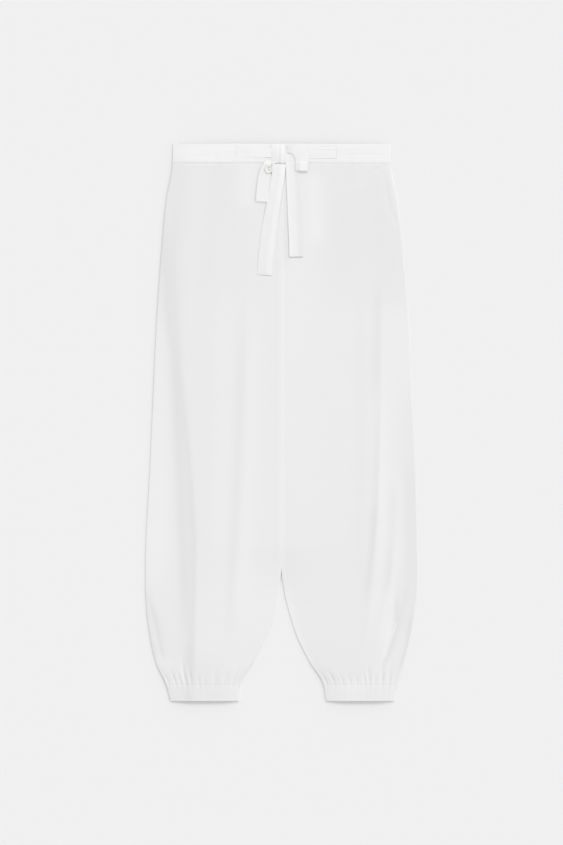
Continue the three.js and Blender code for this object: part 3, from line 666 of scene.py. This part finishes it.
for side, leg in LEGS.items():
    across, down, inner, outer = panel_grid(side, FRONT_ROWS, FRONT_COLUMNS, 0.9)
    height = front_height(side, across, down)
    inside = smooth((across - inner) / EDGE_ROLL) * smooth((outer - across) / EDGE_ROLL)
    height = height - TUCK_DROP * (1 - tucked(down)) * inside
    points = np.stack([leg["sign"] * across, LENGTH / 2 - down, height], -1)
    # Painted light and shade on the front: the table's bands, painted shade along the outer edge and
    # painted shade near the cuff.
    painted_light_shade = sum(fold_height(row, across, down) for row in leg["painted_light_shade"])
    from_cuff = (LENGTH - CUFF_DEPTH - down) / CUFF_PAINTED_SHADE_REACH
    painted_light_shade = painted_light_shade + EDGE_PAINTED_SHADE * bell(outer - across, EDGE_PAINTED_SHADE_WIDTH) * smooth(from_cuff)
    painted_light_shade = painted_light_shade + CUFF_PAINTED_SHADE * smooth(1 - from_cuff)
    if leg["sign"] < 0:
        points = points[:, ::-1]
        painted_light_shade = painted_light_shade[:, ::-1]
    front = surface("front_panel_" + side, points, CLOTH, painted_light_shade=painted_light_shade)
    dress(front, cloth, "cloth", "front_" + side)
    panel_area(side)

# ---- Back panels --------------------------------------------------------------------------------
# One panel of the same cloth to each leg, which lies flat under its front. Its creases are pressed
# in from outside, so they stand up a little into the leg.

BACK_COLUMNS = 70
BACK_ROWS = 200
BACK_TOP = 0.62
BACK_CREASE_SHARE = 0.45
BACK_CREASE_MOST = 1.6
BACK_TUCK_WIDTH = 3

for side, leg in LEGS.items():
    across, down, inner, outer = panel_grid(side, BACK_ROWS, BACK_COLUMNS, 0.5)
    relief = gather_height(side, across, down)
    for row in leg["folds"]:
        relief = relief - np.abs(fold_height(row, across, down))
    for rows in leg["creases"]:
        relief = relief - np.abs(crease_height(rows, across, down))
    held = smooth((across - inner) / (2 * EDGE_ROLL)) * smooth((outer - across) / (2 * EDGE_ROLL))
    lift = np.clip(-BACK_CREASE_SHARE * relief, 0, BACK_CREASE_MOST) * held
    height = BACK_TOP + lift + TUCK_DROP * (1 - tucked(down)) * smooth((across - inner) / BACK_TUCK_WIDTH)
    points = np.stack([leg["sign"] * across, LENGTH / 2 - down, height], -1)
    if leg["sign"] < 0:
        points = points[:, ::-1]
    back = surface("back_panel_" + side, points, CLOTH)
    dress(back, cloth, "cloth", "back_" + side)
    panel_area(side)

# ---- Waistband ----------------------------------------------------------------------------------
# A straight strip folded double over a thin stiffener, sewn to the top of the panels. The seam
# turnings inside make its lower edge a little proud.

BAND_CLOTH = 0.4
BAND_SLOPE = 130
BAND_TURN_SHARE = 0.1
BAND_OVER = 0.02
BAND_COLUMNS = 300
BAND_HALF = 201.4
BAND_LAP = 0.3
BAND_EDGE = 0.2
BAND_END_WIDTH = 4
BAND_END_RISE = 0.05
BAND_BACK_TOP = 0.9
BAND_BACK_CLOTH = 0.45
BAND_BACK_COLUMNS = 60
BAND_ROLL = {"above_seam": 3.4, "width": 2.2, "height": 0.16}
BAND_SINK = {"height": 0.8, "reach": 20}
# Painted light: the waistband's cloth is the panels' cloth given a lighter grey.
band_cloth = cloth_material(
    "waistband_cloth_painted_light", grey=0.874, threads=THREADS, thread_height=0.01, crumple_height=0.1, sheen=0.12,
)

# Wrinkles are given by x, distance down, half length, half width and height.
BAND_WRINKLES = (
    (-110, 12, 30, 3, 0.25), (-150, 22, 30, 3, -0.2), (150, 20, 34, 3, -0.25), (130, 8, 26, 2.4, 0.2),
)


def wrinkle_height(wrinkles, x, down):
    height = np.zeros(np.broadcast(x, down).shape)
    for at, low, long, wide, rise in wrinkles:
        height = height + rise * bell(x - at, long) * bell(down - low, wide)
    return height


def band_sink(down):
    """How far the waistband slopes down towards its upper edge."""
    above = 1 - np.clip(down / BAND_SINK["reach"], 0, 1)
    return BAND_SINK["height"] * above * above


def band_height(x, down):
    """Height of the outer face of the front waistband, which meets the fronts at its seam."""
    edge = EDGE_HEIGHT + BAND_END_RISE
    rise = edge_rise(BAND_HALF - np.abs(x), BAND_SLOPE, BAND_TURN_SHARE)
    own = edge + (outline("rise", down * 0) - edge - band_sink(down)) * rise
    across = np.abs(x)
    seam_down = np.full_like(across, BAND_DEPTH)
    right = front_height("right", across, seam_down)
    left = front_height("left", across, seam_down)
    seam = np.where(x < 0, right, left) + BAND_OVER
    near = smooth(down / BAND_DEPTH)
    wrinkle = wrinkle_height(BAND_WRINKLES, x, down)
    roll = BAND_ROLL["height"] * bell(BAND_DEPTH - down - BAND_ROLL["above_seam"], BAND_ROLL["width"])
    return own + (seam - own) * near + wrinkle + roll


def rounded_rows(top, bottom, edge, between):
    """Rows from top to bottom, crowded over the two rounded edges."""
    turn = edge * (1 - np.cos(np.linspace(0, np.pi / 2, 6)))
    middle = np.linspace(top + edge, bottom - edge, between)[1:-1]
    return np.concatenate([top + turn, middle, (bottom - turn)[::-1]])


def edge_drop(down, top, bottom, edge):
    """How far a surface has turned down at its two rounded edges."""
    nearest = np.minimum(down - top, bottom - down)
    return edge * (1 - quarter_round(nearest / edge))


def band_grid(between, places):
    """Places along and down the waistband, and how far its rounded edges have turned at each."""
    rows = rounded_rows(0, BAND_DEPTH + BAND_LAP, BAND_EDGE, between)
    x, down = np.meshgrid(-BAND_HALF + 2 * BAND_HALF * places, rows)
    return x, down, edge_drop(down, 0, BAND_DEPTH + BAND_LAP, BAND_EDGE)


x, down, turned = band_grid(34, spread(BAND_COLUMNS, 0.75))
height = band_height(x, down) - turned * smooth((BAND_HALF - np.abs(x)) / BAND_END_WIDTH)
waistband = surface("waistband_front_strip", np.stack([x, LENGTH / 2 - down, height], -1), BAND_CLOTH)
dress(waistband, band_cloth, "band_cloth", "waistband_front")

THREAD = 0.34
STITCH = 2.5
STITCH_GAP = 0.8
STITCH_ABOVE_SEAM = 3.4
STITCH_FROM_END = 3
THREAD_PLACES = (0, 0.14, 0.5, 0.86, 1)
THREAD_FULLNESS = (0.25, 0.85, 1, 0.85, 0.25)
THREAD_SIDES = 6
sewing_thread = cloth_material(
    "sewing_thread", grey=0.88, threads=4200, thread_height=0.012, crumple_height=0.04, sheen=0.2,
)


def stitches(name, starts, ends, thread=THREAD):
    """Short lengths of thread in one mesh, each from a start to an end in millimetres, whose tips
    go down into the cloth."""
    starts, ends = np.asarray(starts, dtype=float), np.asarray(ends, dtype=float)
    ahead = (ends - starts) / np.linalg.norm(ends - starts, axis=1)[:, None]
    side = np.cross(ahead, (0, 0, 1.0))
    along = np.array(THREAD_PLACES)
    thick = np.array(THREAD_FULLNESS) * thread / 2
    turns = np.linspace(0, 2 * np.pi, THREAD_SIDES + 1)[:-1]
    centre = starts[:, None] + (ends - starts)[:, None] * along[None, :, None]
    centre[:, :, 2] += thick - thread / 4
    points = (
        centre[:, :, None]
        + side[:, None, None] * (thick[:, None] * np.cos(turns))[None, :, :, None]
        + np.array([0, 0, 1.0]) * (thick[:, None] * np.sin(turns))[None, :, :, None]
    )
    count, rings, around = points.shape[:3]
    faces = []
    for first in range(0, count * rings * around, rings * around):
        for i in range(rings - 1):
            for j in range(around):
                a = first + i * around + j
                b = first + i * around + (j + 1) % around
                faces.append((a, b, b + around, a + around))
        faces.append(tuple(range(first + around - 1, first - 1, -1)))
        faces.append(tuple(range(first + (rings - 1) * around, first + rings * around)))
    mesh = bpy.data.meshes.new(name)
    mesh.from_pydata((points.reshape(-1, 3) * MM).tolist(), [], faces)
    mesh.polygons.foreach_set("use_smooth", [True] * len(mesh.polygons))
    dress(new_object(name, mesh), sewing_thread, "band_cloth")


def run_length(path):
    """How far along a path each of its points lies."""
    return np.concatenate([[0], np.cumsum(np.linalg.norm(np.diff(path, axis=0), axis=1))])


def seam_stitches(name, *paths):
    """A row of even stitches along each path of points."""
    starts, ends = [], []
    for path in paths:
        run = run_length(path)
        first = np.arange(STITCH_GAP, run[-1] - STITCH, STITCH + STITCH_GAP)
        starts.append(np.stack([np.interp(first, run, path[:, k]) for k in range(3)], -1))
        ends.append(np.stack([np.interp(first + STITCH, run, path[:, k]) for k in range(3)], -1))
    stitches(name, np.concatenate(starts), np.concatenate(ends))


x = np.linspace(STITCH_FROM_END - BAND_HALF, BAND_HALF - STITCH_FROM_END, 500)
down = np.full_like(x, BAND_DEPTH - STITCH_ABOVE_SEAM)
seam_stitches("stitching_waistband", np.stack([x, LENGTH / 2 - down, band_height(x, down)], -1))

x, down, turned = band_grid(8, np.linspace(0, 1, BAND_BACK_COLUMNS))
points = np.stack([x, LENGTH / 2 - down, BAND_BACK_TOP - turned], -1)
waistband_back = surface("waistband_back_strip", points, BAND_BACK_CLOTH)
dress(waistband_back, band_cloth, "band_cloth", "waistband_back")

# ---- Cuffs --------------------------------------------------------------------------------------
# A straight band folded double, which the wide end of each leg is gathered into. The gathers push
# small puckers into its upper edge.

CUFF_CLOTH = 0.6
CUFF_LAP = 0.3
CUFF_EDGE = 0.9
CUFF_TOP_SQUARE = 0.75
CUFF_PUCKER_REACH = 9
HEM_STITCH = 5
CUFF_FLAT_POINTS = 90
CUFF_ROUND_POINTS = 18
# Painted shade: the cuffs' cloth is the panels' cloth given a darker grey.
cuff_cloth_painted_shade = cloth_material(
    "cuff_cloth_painted_shade", grey=0.812, threads=THREADS, thread_height=0.01, crumple_height=0.1, sheen=0.12,
)


def cuff_ring(side, down, inset, pucker):
    """One ring round a cuff at the given distance down: a flattened tube with round ends. "pucker"
    is the share of the gathers' depth that shows on its upper side."""
    radius = CUFF_END
    low = float(outline("inner_" + side, down)) + radius
    high = float(outline("outer_" + side, down)) - radius
    flat = low + (high - low) * np.arange(CUFF_FLAT_POINTS) / CUFF_FLAT_POINTS
    turn = np.pi * np.arange(CUFF_ROUND_POINTS) / CUFF_ROUND_POINTS
    reach = radius - inset
    top = flat[::-1] + (high - low) / CUFF_FLAT_POINTS
    taper = 1 - CUFF_TAPER * smooth(1 - (LENGTH - down) / CUFF_DEPTH)
    swell = cuff_top(top - low + radius, high + radius - top) - 2 * radius
    gathers = gather_height(side, top, np.full_like(top, LENGTH - CUFF_DEPTH))
    across = np.concatenate([flat, high + reach * np.sin(turn), top, low - reach * np.sin(turn)])
    height = np.concatenate([
        0 * flat + inset,
        radius - reach * np.cos(turn),
        2 * radius + swell * taper - inset + pucker * gathers,
        radius + reach * np.cos(turn),
    ])
    return np.stack([LEGS[side]["sign"] * across, 0 * across + LENGTH / 2 - down, height], -1)


for side in LEGS:
    top = LENGTH - CUFF_DEPTH - CUFF_LAP
    rows = rounded_rows(top, LENGTH, CUFF_EDGE, 22)
    rings = []
    for down in rows:
        drop = edge_drop(down, top - CUFF_TOP_SQUARE, LENGTH, CUFF_EDGE)
        pucker = math.exp(-(down - top) / CUFF_PUCKER_REACH)
        rings.append(cuff_ring(side, down, drop, pucker))
    rings = np.array(rings)
    if LEGS[side]["sign"] > 0:
        rings = rings[:, ::-1]
    hem = cuff_ring(side, LENGTH - HEM_STITCH, 0, pucker)
    hem = hem[hem[:, 2] > 2 * CUFF_END]
    seam_stitches("stitching_cuff_" + side, hem)
    rings_across, rings_down = np.abs(rings[:, :, 0]), LENGTH / 2 - rings[:, :, 1]
    # Painted light and shade on the cuff, from its leg's table.
    painted_light_shade = sum(fold_height(row, rings_across, rings_down) for row in LEGS[side]["painted_light_shade"])
    cuff = surface("cuff_band_" + side, rings, CUFF_CLOTH, round_it=True, painted_light_shade=painted_light_shade)
    dress(cuff, cuff_cloth_painted_shade, "band_cloth", "cuff_" + side)

# ---- Tie ----------------------------------------------------------------------------------------
# A sewn ribbon of the same cloth. It comes out of a slit on each side of the waistband and is tied
# at the centre in a bow with two loops and two free ends.

RIBBON = 0.45
RIBBON_LIFT = 0.05
RIBBON_STEP_DOWN = 14
RIBBON_COLUMNS = 26
RIBBON_EDGE_POINTS = 3
RIBBON_CROWDING = 1.35
CURL_FROM = 0.4
PRESS_FROM = 0.1
HEAD_SHARE = 0.45
LOOP_TURN_ROWS = 14
RIBBON_WAVES = ((17, 1.7, 1), (7.3, -2.4, 0.6))  # length, slant, share
# Painted light: the tie's cloth is the panels' cloth given a lighter grey.
tie_cloth = cloth_material(
    "tie_cloth", grey=0.868, threads=THREADS, thread_height=0.01, crumple_height=0.16, sheen=0.16,
)

# Each row of a route is a place on the ribbon's middle line, half its width there, and its height
# above the cloth under it.
ROUTE_COLUMNS = ("x", "down", "half", "height")
RUN_RIGHT = ((-84, 13.5, 10.5, -0.35), (-60, 14, 11, 0), (-38, 15, 10.5, 0.2), (-17, 17, 8.5, 1))
RUN_LEFT = ((8, 15, 9, 0), (32, 15.5, 11.5, 0), (64, 16, 12, 0), (101, 15, 12, -0.35))
TAIL_RIGHT = (
    (-4.5, 37.9, 12.5, 1.5), (-6.8, 61, 12.4, 1.6), (-13.8, 104, 12.6, 1.3), (-20, 140, 13.6, 0.4),
    (-24.6, 172, 14.3, 0), (-29.5, 210, 14, 0), (-31.6, 243.5, 14, 0),
)
TAIL_LEFT = (
    (16, 18, 8, 0.2), (18.3, 34, 11, 0.2), (20, 50, 12.3, 0.1), (21.3, 68, 12.9, 0),
    (23.6, 120, 13, 0.2), (25.7, 170, 12.9, 0.3), (26.6, 210, 12.6, 0.6),
)
LOOP_RIGHT = (
    (-25.2, 30, 4.6, 1.7), (-26.8, 40, 7.5, 1.7), (-29.6, 51, 10.4, 1.6),
    (-32, 68, 12.2, 1.5), (-34.6, 86, 12, 1.6), (-36.2, 107, 11.2, 1.9),
)
LOOP_LEFT = (
    (8, 9.5, 7, 1.8), (18, 10, 8.4, 1.8), (28.5, 12.5, 11.4, 1.9),
    (36.5, 25, 11.6, 2.3), (37, 49.6, 11.4, 4.6),
)
RUN_WRINKLES = (
    (80, 6, 17, 1.5, -0.45), (78, 9.4, 15, 1.4, 0.35), (86, 13, 13, 1.6, -0.35), (44, 21, 14, 2, 0.2),
)
LOOP_RIGHT_FLOOR = 0.15
LOOP_LEFT_FLOOR = 0.8
BOW_TOP = 1.2
BOW_TOP_SOFT = 2


def cloth_top(x, down):
    """Height of what the tie lies on: the waistband, then the fronts a little below its seam."""
    across = np.abs(x)
    front = np.where(x < 0, front_height("right", across, down), front_height("left", across, down))
    band = float(outline("rise", 0)) - band_sink(down)
    off = smooth((down - BAND_DEPTH) / RIBBON_STEP_DOWN)
    blended = band + (front - band) * off
    return np.where(down > BAND_DEPTH, np.maximum(blended, front), np.maximum(blended, band))


def route(rows, count):
    """Even stations along a ribbon's smooth route through its rows, and the way ahead at each."""
    table = np.array(rows, dtype=float)
    before = 2 * table[0] - table[1]
    beyond = 2 * table[-1] - table[-2]
    table = np.vstack([before, table, beyond])
    t = np.linspace(0, len(rows) - 1, count)
    k = np.minimum(t.astype(int), len(rows) - 2)
    u = (t - k)[:, None]
    a, b, c, d = table[k], table[k + 1], table[k + 2], table[k + 3]
    bend, twist = 2 * a - 5 * b + 4 * c - d, 3 * b - a - 3 * c + d
    stations = 0.5 * (2 * b + (c - a) * u + bend * u**2 + twist * u**3)
    ahead = np.gradient(stations[:, :2], axis=0)
    return stations, ahead / np.linalg.norm(ahead, axis=1)[:, None]


def column(stations, name):
    return stations[:, ROUTE_COLUMNS.index(name)][:, None]


def ribbon_rows(stations, ahead, side, further, height):
    """Points across a ribbon, "further" along past each station, above the cloth under it."""
    half = column(stations, "half")
    ahead_x, ahead_down = ahead[:, :1], ahead[:, 1:]
    x = column(stations, "x") + ahead_x * further + ahead_down * side * half
    down = column(stations, "down") + ahead_down * further - ahead_x * side * half
    past_top = down - BOW_TOP
    down = BOW_TOP + (past_top + np.sqrt(past_top * past_top + BOW_TOP_SOFT**2)) / 2
    return np.stack([x, LENGTH / 2 - down, cloth_top(x, down) + height], -1)


def half_thickness(rows, columns):
    """Half the ribbon's thickness at each point, which falls to 0 at its edges all round."""
    falls = []
    for count in (rows, columns):
        nearest = np.minimum(np.arange(count), np.arange(count)[::-1])
        falls.append(quarter_round(nearest / RIBBON_EDGE_POINTS))
    return RIBBON / 2 * falls[0][:, None] * falls[1][None, :]


def sewn_strip(name, middle, painted_light_shade, node, flat):
    """A closed strip of ribbon about its middle surface, dressed. "flat" is its width and its length in
    millimetres, and is not used."""
    along = np.gradient(middle, axis=0)
    over = np.gradient(middle, axis=1)
    normal = np.cross(along, over)
    normal /= np.linalg.norm(normal, axis=2)[:, :, None]
    half = half_thickness(*middle.shape[:2])[:, :, None]
    points = np.concatenate([middle - normal * half, (middle + normal * half)[:, ::-1][:, 1:-1]], 1)
    painted_light_shade = np.concatenate([painted_light_shade, painted_light_shade[:, ::-1][:, 1:-1]], 1)
    strip = surface(name, points, round_it=True, painted_light_shade=painted_light_shade)
    dress(strip, tie_cloth, "tie_cloth", node)
    flat = (float(flat[0]) * MM, float(flat[1]) * MM)


SIDES = np.linspace(-1, 1, RIBBON_COLUMNS)
EDGE_CROWD = np.sign(SIDES) * (1 - (1 - np.abs(SIDES)) ** RIBBON_CROWDING)


def edge_stitches(name, middle, hemmed):
    """Stitches near both edges of a ribbon, and across its far end if it is hemmed."""
    top = middle + np.array([0, 0, RIBBON / 2])
    paths = [top[2:-2, 2], top[2:-2, -3]]
    if hemmed:
        paths.append(top[-5, 2:-2])
    seam_stitches(name, *paths)


def lay_ribbon(name, rows, count, node, creases, raised, painted_tones, wrinkles=()):
    """A flat ribbon along its route. "raised" is how far its two edges stand up, in millimetres:
    the one on the left hand of the way ahead, then the other. "painted_tones" is the painted light and
    shade:
    the change of tone at the first edge, at the other and at the route's end."""
    stations, ahead = route(rows, count)
    side = EDGE_CROWD[None, :] + np.zeros((count, 1))
    thick = half_thickness(count, RIBBON_COLUMNS)
    curl = raised[0] * smooth((side - CURL_FROM) / (1 - CURL_FROM))
    curl = curl + raised[1] * smooth((-side - CURL_FROM) / (1 - CURL_FROM))
    above = column(stations, "height") + RIBBON_LIFT + thick + curl
    middle = ribbon_rows(stations, ahead, side, 0, above)
    run = run_length(middle[:, RIBBON_COLUMNS // 2])[:, None]
    wave = sum(share * np.sin(run / long + slant * side) for long, slant, share in RIBBON_WAVES)
    middle[:, :, 2] += creases * (1 + wave) / 2
    middle[:, :, 2] += wrinkle_height(wrinkles, middle[:, :, 0], LENGTH / 2 - middle[:, :, 1])
    # Painted light and shade: lighter or darker along each edge and towards the end.
    painted_light_shade = painted_tones[0] * smooth(side * 2) + painted_tones[1] * smooth(-side * 2)
    painted_light_shade = painted_light_shade + painted_tones[2] * (run / run[-1])
    flat = (np.mean(column(stations, "half")) * 2, run[-1, 0])
    sewn_strip(name, middle, painted_light_shade, node, flat)
    return middle


def fold_loop(name, rows, count, floor_height, node, head_painted_tone, pressed):
    """A bow loop: the ribbon runs out along the cloth, turns over and comes back above itself.
    "pressed" is how far the right hand edge of the way out is pressed down onto the layer below,
    from 0 to 1."""
    stations, ahead = route(rows, count)
    side = EDGE_CROWD[None, :]
    low = floor_height + RIBBON / 2
    end = stations[-1:]
    over_height = column(stations, "height") - RIBBON / 2
    press = pressed * smooth((-side - PRESS_FROM) / (1 - PRESS_FROM))
    over_height = over_height - (over_height - low - RIBBON) * press
    radius = (over_height[-1:] - low) / 2
    turns = np.linspace(-np.pi / 2, np.pi / 2, LOOP_TURN_ROWS + 2)[1:-1]
    under = ribbon_rows(stations, ahead, side, 0, low)
    bend = np.concatenate([
        ribbon_rows(end, ahead[-1:], side, radius * math.cos(turn), low + radius * (1 + math.sin(turn)))
        for turn in turns
    ])
    over = ribbon_rows(stations, ahead, side, 0, over_height)[::-1]
    middle = np.concatenate([under, bend, over])
    # Painted light and shade at the loop's head, fading out along its first part.
    head = smooth(1 - np.linspace(0, 1, count) / HEAD_SHARE)
    painted_light_shade = head_painted_tone * head[:, None] + 0 * under[:, :, 2]
    painted_light_shade = np.concatenate([painted_light_shade, 0 * bend[:, :, 2], painted_light_shade[::-1]])
    flat = (np.mean(column(stations, "half")) * 2, run_length(middle[:, RIBBON_COLUMNS // 2])[-1])
    sewn_strip(name, middle, painted_light_shade, node, flat)


# The tuple after each ribbon's raised edges is its painted light and shade: at the first edge, at the other
# and at the end.
run_right = lay_ribbon("ribbon_run_right", RUN_RIGHT, 60, "tie_run_right", 0.15, (0, 0.2), (0, 0, 4))
run_left = lay_ribbon(
    "ribbon_run_left", RUN_LEFT, 80, "tie_run_left", 0.15, (0, 0.1), (0, 0, 0), RUN_WRINKLES,
)
tail_right = lay_ribbon("ribbon_tail_right", TAIL_RIGHT, 150, "tie_tail_right", 0.2, (0, -0.15), (5, 1, -4))
tail_left = lay_ribbon("ribbon_tail_left", TAIL_LEFT, 140, "tie_tail_left", 0.2, (0, 0.45), (-5, 0, 0))
# The second-last number paints each loop's head: painted light on the right loop, a painted shadow on the
# left.
fold_loop("ribbon_loop_right", LOOP_RIGHT, 60, LOOP_RIGHT_FLOOR, "tie_loop_right", 4, 0)
fold_loop("ribbon_loop_left", LOOP_LEFT, 60, LOOP_LEFT_FLOOR, "tie_loop_left", -8, 0.85)
edge_stitches("stitching_run_right", run_right, False)
edge_stitches("stitching_run_left", run_left, False)
edge_stitches("stitching_tail_right", tail_right, True)
edge_stitches("stitching_tail_left", tail_left, True)

SLITS = ((-84, 3, 24), (101, 3, 27))
SATIN_WIDTH = 2.4
SATIN_PITCH = 0.62
SATIN_THREAD = 0.3
bars = []
for slit_x, slit_top, slit_bottom in SLITS:
    for down in np.arange(slit_top, slit_bottom, SATIN_PITCH):
        bars.append((slit_x, LENGTH / 2 - down, float(band_height(np.array(slit_x), np.array(down)))))
bars = np.array(bars)
half_bar = np.array([SATIN_WIDTH / 2, 0, 0])
stitches("stitching_slits", bars - half_bar, bars + half_bar, SATIN_THREAD)

KNOT = {"left": -20, "right": 10, "top": 1.6, "bottom": 35.6, "height": 3, "side_rim": 0.3, "end_rim": 0.45}
KNOT_SPILL = {"from": 0.72, "aside": 7, "down": 4.5}
KNOT_POINTS = 44
KNOT_FOLDS = (
    # x at the top, x at the bottom, half width, height
    (-13, -12, 2.2, -0.25),
    (-4.5, -5.5, 1.6, -0.45),
    (-0.5, -1, 1.6, 0.5),
    (5, 4.5, 1.6, -0.7),
)
u, v = np.meshgrid(spread(KNOT_POINTS, 0.6), spread(KNOT_POINTS, 0.6))
x = KNOT["left"] + (KNOT["right"] - KNOT["left"]) * u
low_part = smooth((v - KNOT_SPILL["from"]) / (1 - KNOT_SPILL["from"]))
x = x - KNOT_SPILL["aside"] * low_part * (1 - u) ** 3
down = KNOT["top"] + (KNOT["bottom"] - KNOT["top"]) * v
down = down + KNOT_SPILL["down"] * v**6 * smooth((0.5 - u) / 0.5)
bulge = KNOT["end_rim"] + (1 - KNOT["end_rim"]) * np.sin(np.pi * v)
dome = KNOT["side_rim"] + (1 - KNOT["side_rim"]) * np.sqrt(np.sin(np.pi * u))
relief = 0
for top_x, bottom_x, wide, rise in KNOT_FOLDS:
    relief = relief + rise * bell(x - (top_x + (bottom_x - top_x) * v), wide)
base = cloth_top(x, down) + RIBBON_LIFT
inward = np.ones_like(v)
inward[[0, -1]] = 0
top = base + inward * (KNOT["height"] * dome * bulge + relief * np.sin(np.pi * u))
upper = np.stack([x, LENGTH / 2 - down, top], -1)
lower = np.stack([x, LENGTH / 2 - down, base + 0 * x], -1)[:, ::-1]
knot = surface("ribbon_knot", np.concatenate([upper, lower], 1), round_it=True)
dress(knot, tie_cloth, "tie_cloth", "tie_knot")

# ---- Button -------------------------------------------------------------------------------------
# A small ivory button with a dished face, a rounded rim and two holes. Thread through the holes
# sews it on at the head of the wearer's right loop.

BUTTON_PLACE = {"x": -23.5, "down": 47}
BUTTON_REST = 4
BUTTON_LIFT = 1.8
BUTTON_SIDES = 48
BUTTON_HOLE = 1.15
BUTTON_HOLE_SPACING = 4.6
BUTTON_PROFILE = (
    # radius, height
    (0, 0.95), (3.6, 0.95), (4.8, 1.05), (5.6, 1.45), (6.3, 1.85), (7, 1.95), (7.5, 1.75), (7.8, 1.3),
    (7.8, 0.8), (7.4, 0.35), (6.6, 0.1), (5, 0), (0, 0),
)
DRILL_ENDS = (3, -1)
PEARL_LIGHT = (0.86, 0.845, 0.79, 1)
PEARL_DARK = (0.79, 0.77, 0.72, 1)
BUTTON_THREAD = 0.5
STRAND_GAP = 0.45


def pearl_material():
    """Ivory shell: faint cloudy bands in the colour, and a smooth surface a little worn."""
    material, shader = new_material("ivory_pearl", roughness=0.26, specular=0.5)
    tree = material.node_tree
    place = tree.nodes.new("ShaderNodeTexCoord").outputs["Object"]
    clouds = tree.nodes.new("ShaderNodeTexNoise")
    clouds.inputs["Scale"].default_value = 220
    clouds.inputs["Distortion"].default_value = 1.2
    tree.links.new(place, clouds.inputs["Vector"])
    mix = tree.nodes.new("ShaderNodeMix")
    mix.data_type = "RGBA"
    mix.inputs[MIX_FIRST].default_value = PEARL_LIGHT
    mix.inputs[MIX_SECOND].default_value = PEARL_DARK
    tree.links.new(clouds.outputs["Fac"], mix.inputs["Factor"])
    tree.links.new(mix.outputs[MIXED], shader.inputs["Base Color"])
    wear = combine(tree, "MULTIPLY_ADD", clouds.outputs["Fac"], 0.16, 0.2)
    tree.links.new(wear, shader.inputs["Roughness"])
    shader.inputs["Coat Weight"].default_value = 0.25
    return material


button_x = BUTTON_PLACE["x"]
button_y = LENGTH / 2 - BUTTON_PLACE["down"]
rest = cloth_top(np.array([button_x]), np.array([BUTTON_PLACE["down"] + BUTTON_REST]))[0]
under = rest + BUTTON_LIFT
turn = np.linspace(0, 2 * np.pi, BUTTON_SIDES + 1)[:-1]
profile = np.array(BUTTON_PROFILE)
disc = np.stack([
    button_x + profile[:, :1] * np.cos(turn),
    button_y + profile[:, :1] * np.sin(turn),
    under + profile[:, 1:] + 0 * turn,
], -1)
button = surface("button_disc", disc, round_it=True)
drill_profile = np.array([[0], [1], [1], [0]])
drills = []
for end in (-1, 1):
    hole = np.stack([
        button_x + BUTTON_HOLE * drill_profile * np.cos(turn),
        button_y + end * BUTTON_HOLE_SPACING / 2 + BUTTON_HOLE * drill_profile * np.sin(turn),
        under + np.repeat(DRILL_ENDS, 2)[:, None] + 0 * turn,
    ], -1)
    drill = surface("drill", hole, round_it=True)
    drills.append(drill)
    cut = button.modifiers.new("hole", "BOOLEAN")
    cut.operation = "DIFFERENCE"
    cut.object = drill
bpy.context.view_layer.update()
pierced = bpy.data.meshes.new_from_object(button.evaluated_get(bpy.context.evaluated_depsgraph_get()))
button.modifiers.clear()
button.data = pierced
for drill in drills:
    bpy.data.objects.remove(drill)
dress(button, pearl_material(), "button", "button")

strand_x = button_x + STRAND_GAP * np.array([-1, 0, 1])
middles = np.stack([strand_x, 0 * strand_x + button_y, 0 * strand_x + under + BUTTON_PROFILE[0][1]], -1)
half_strand = np.array([0, BUTTON_HOLE_SPACING / 2, 0])
stitches("button_thread", middles - half_strand, middles + half_strand, BUTTON_THREAD)
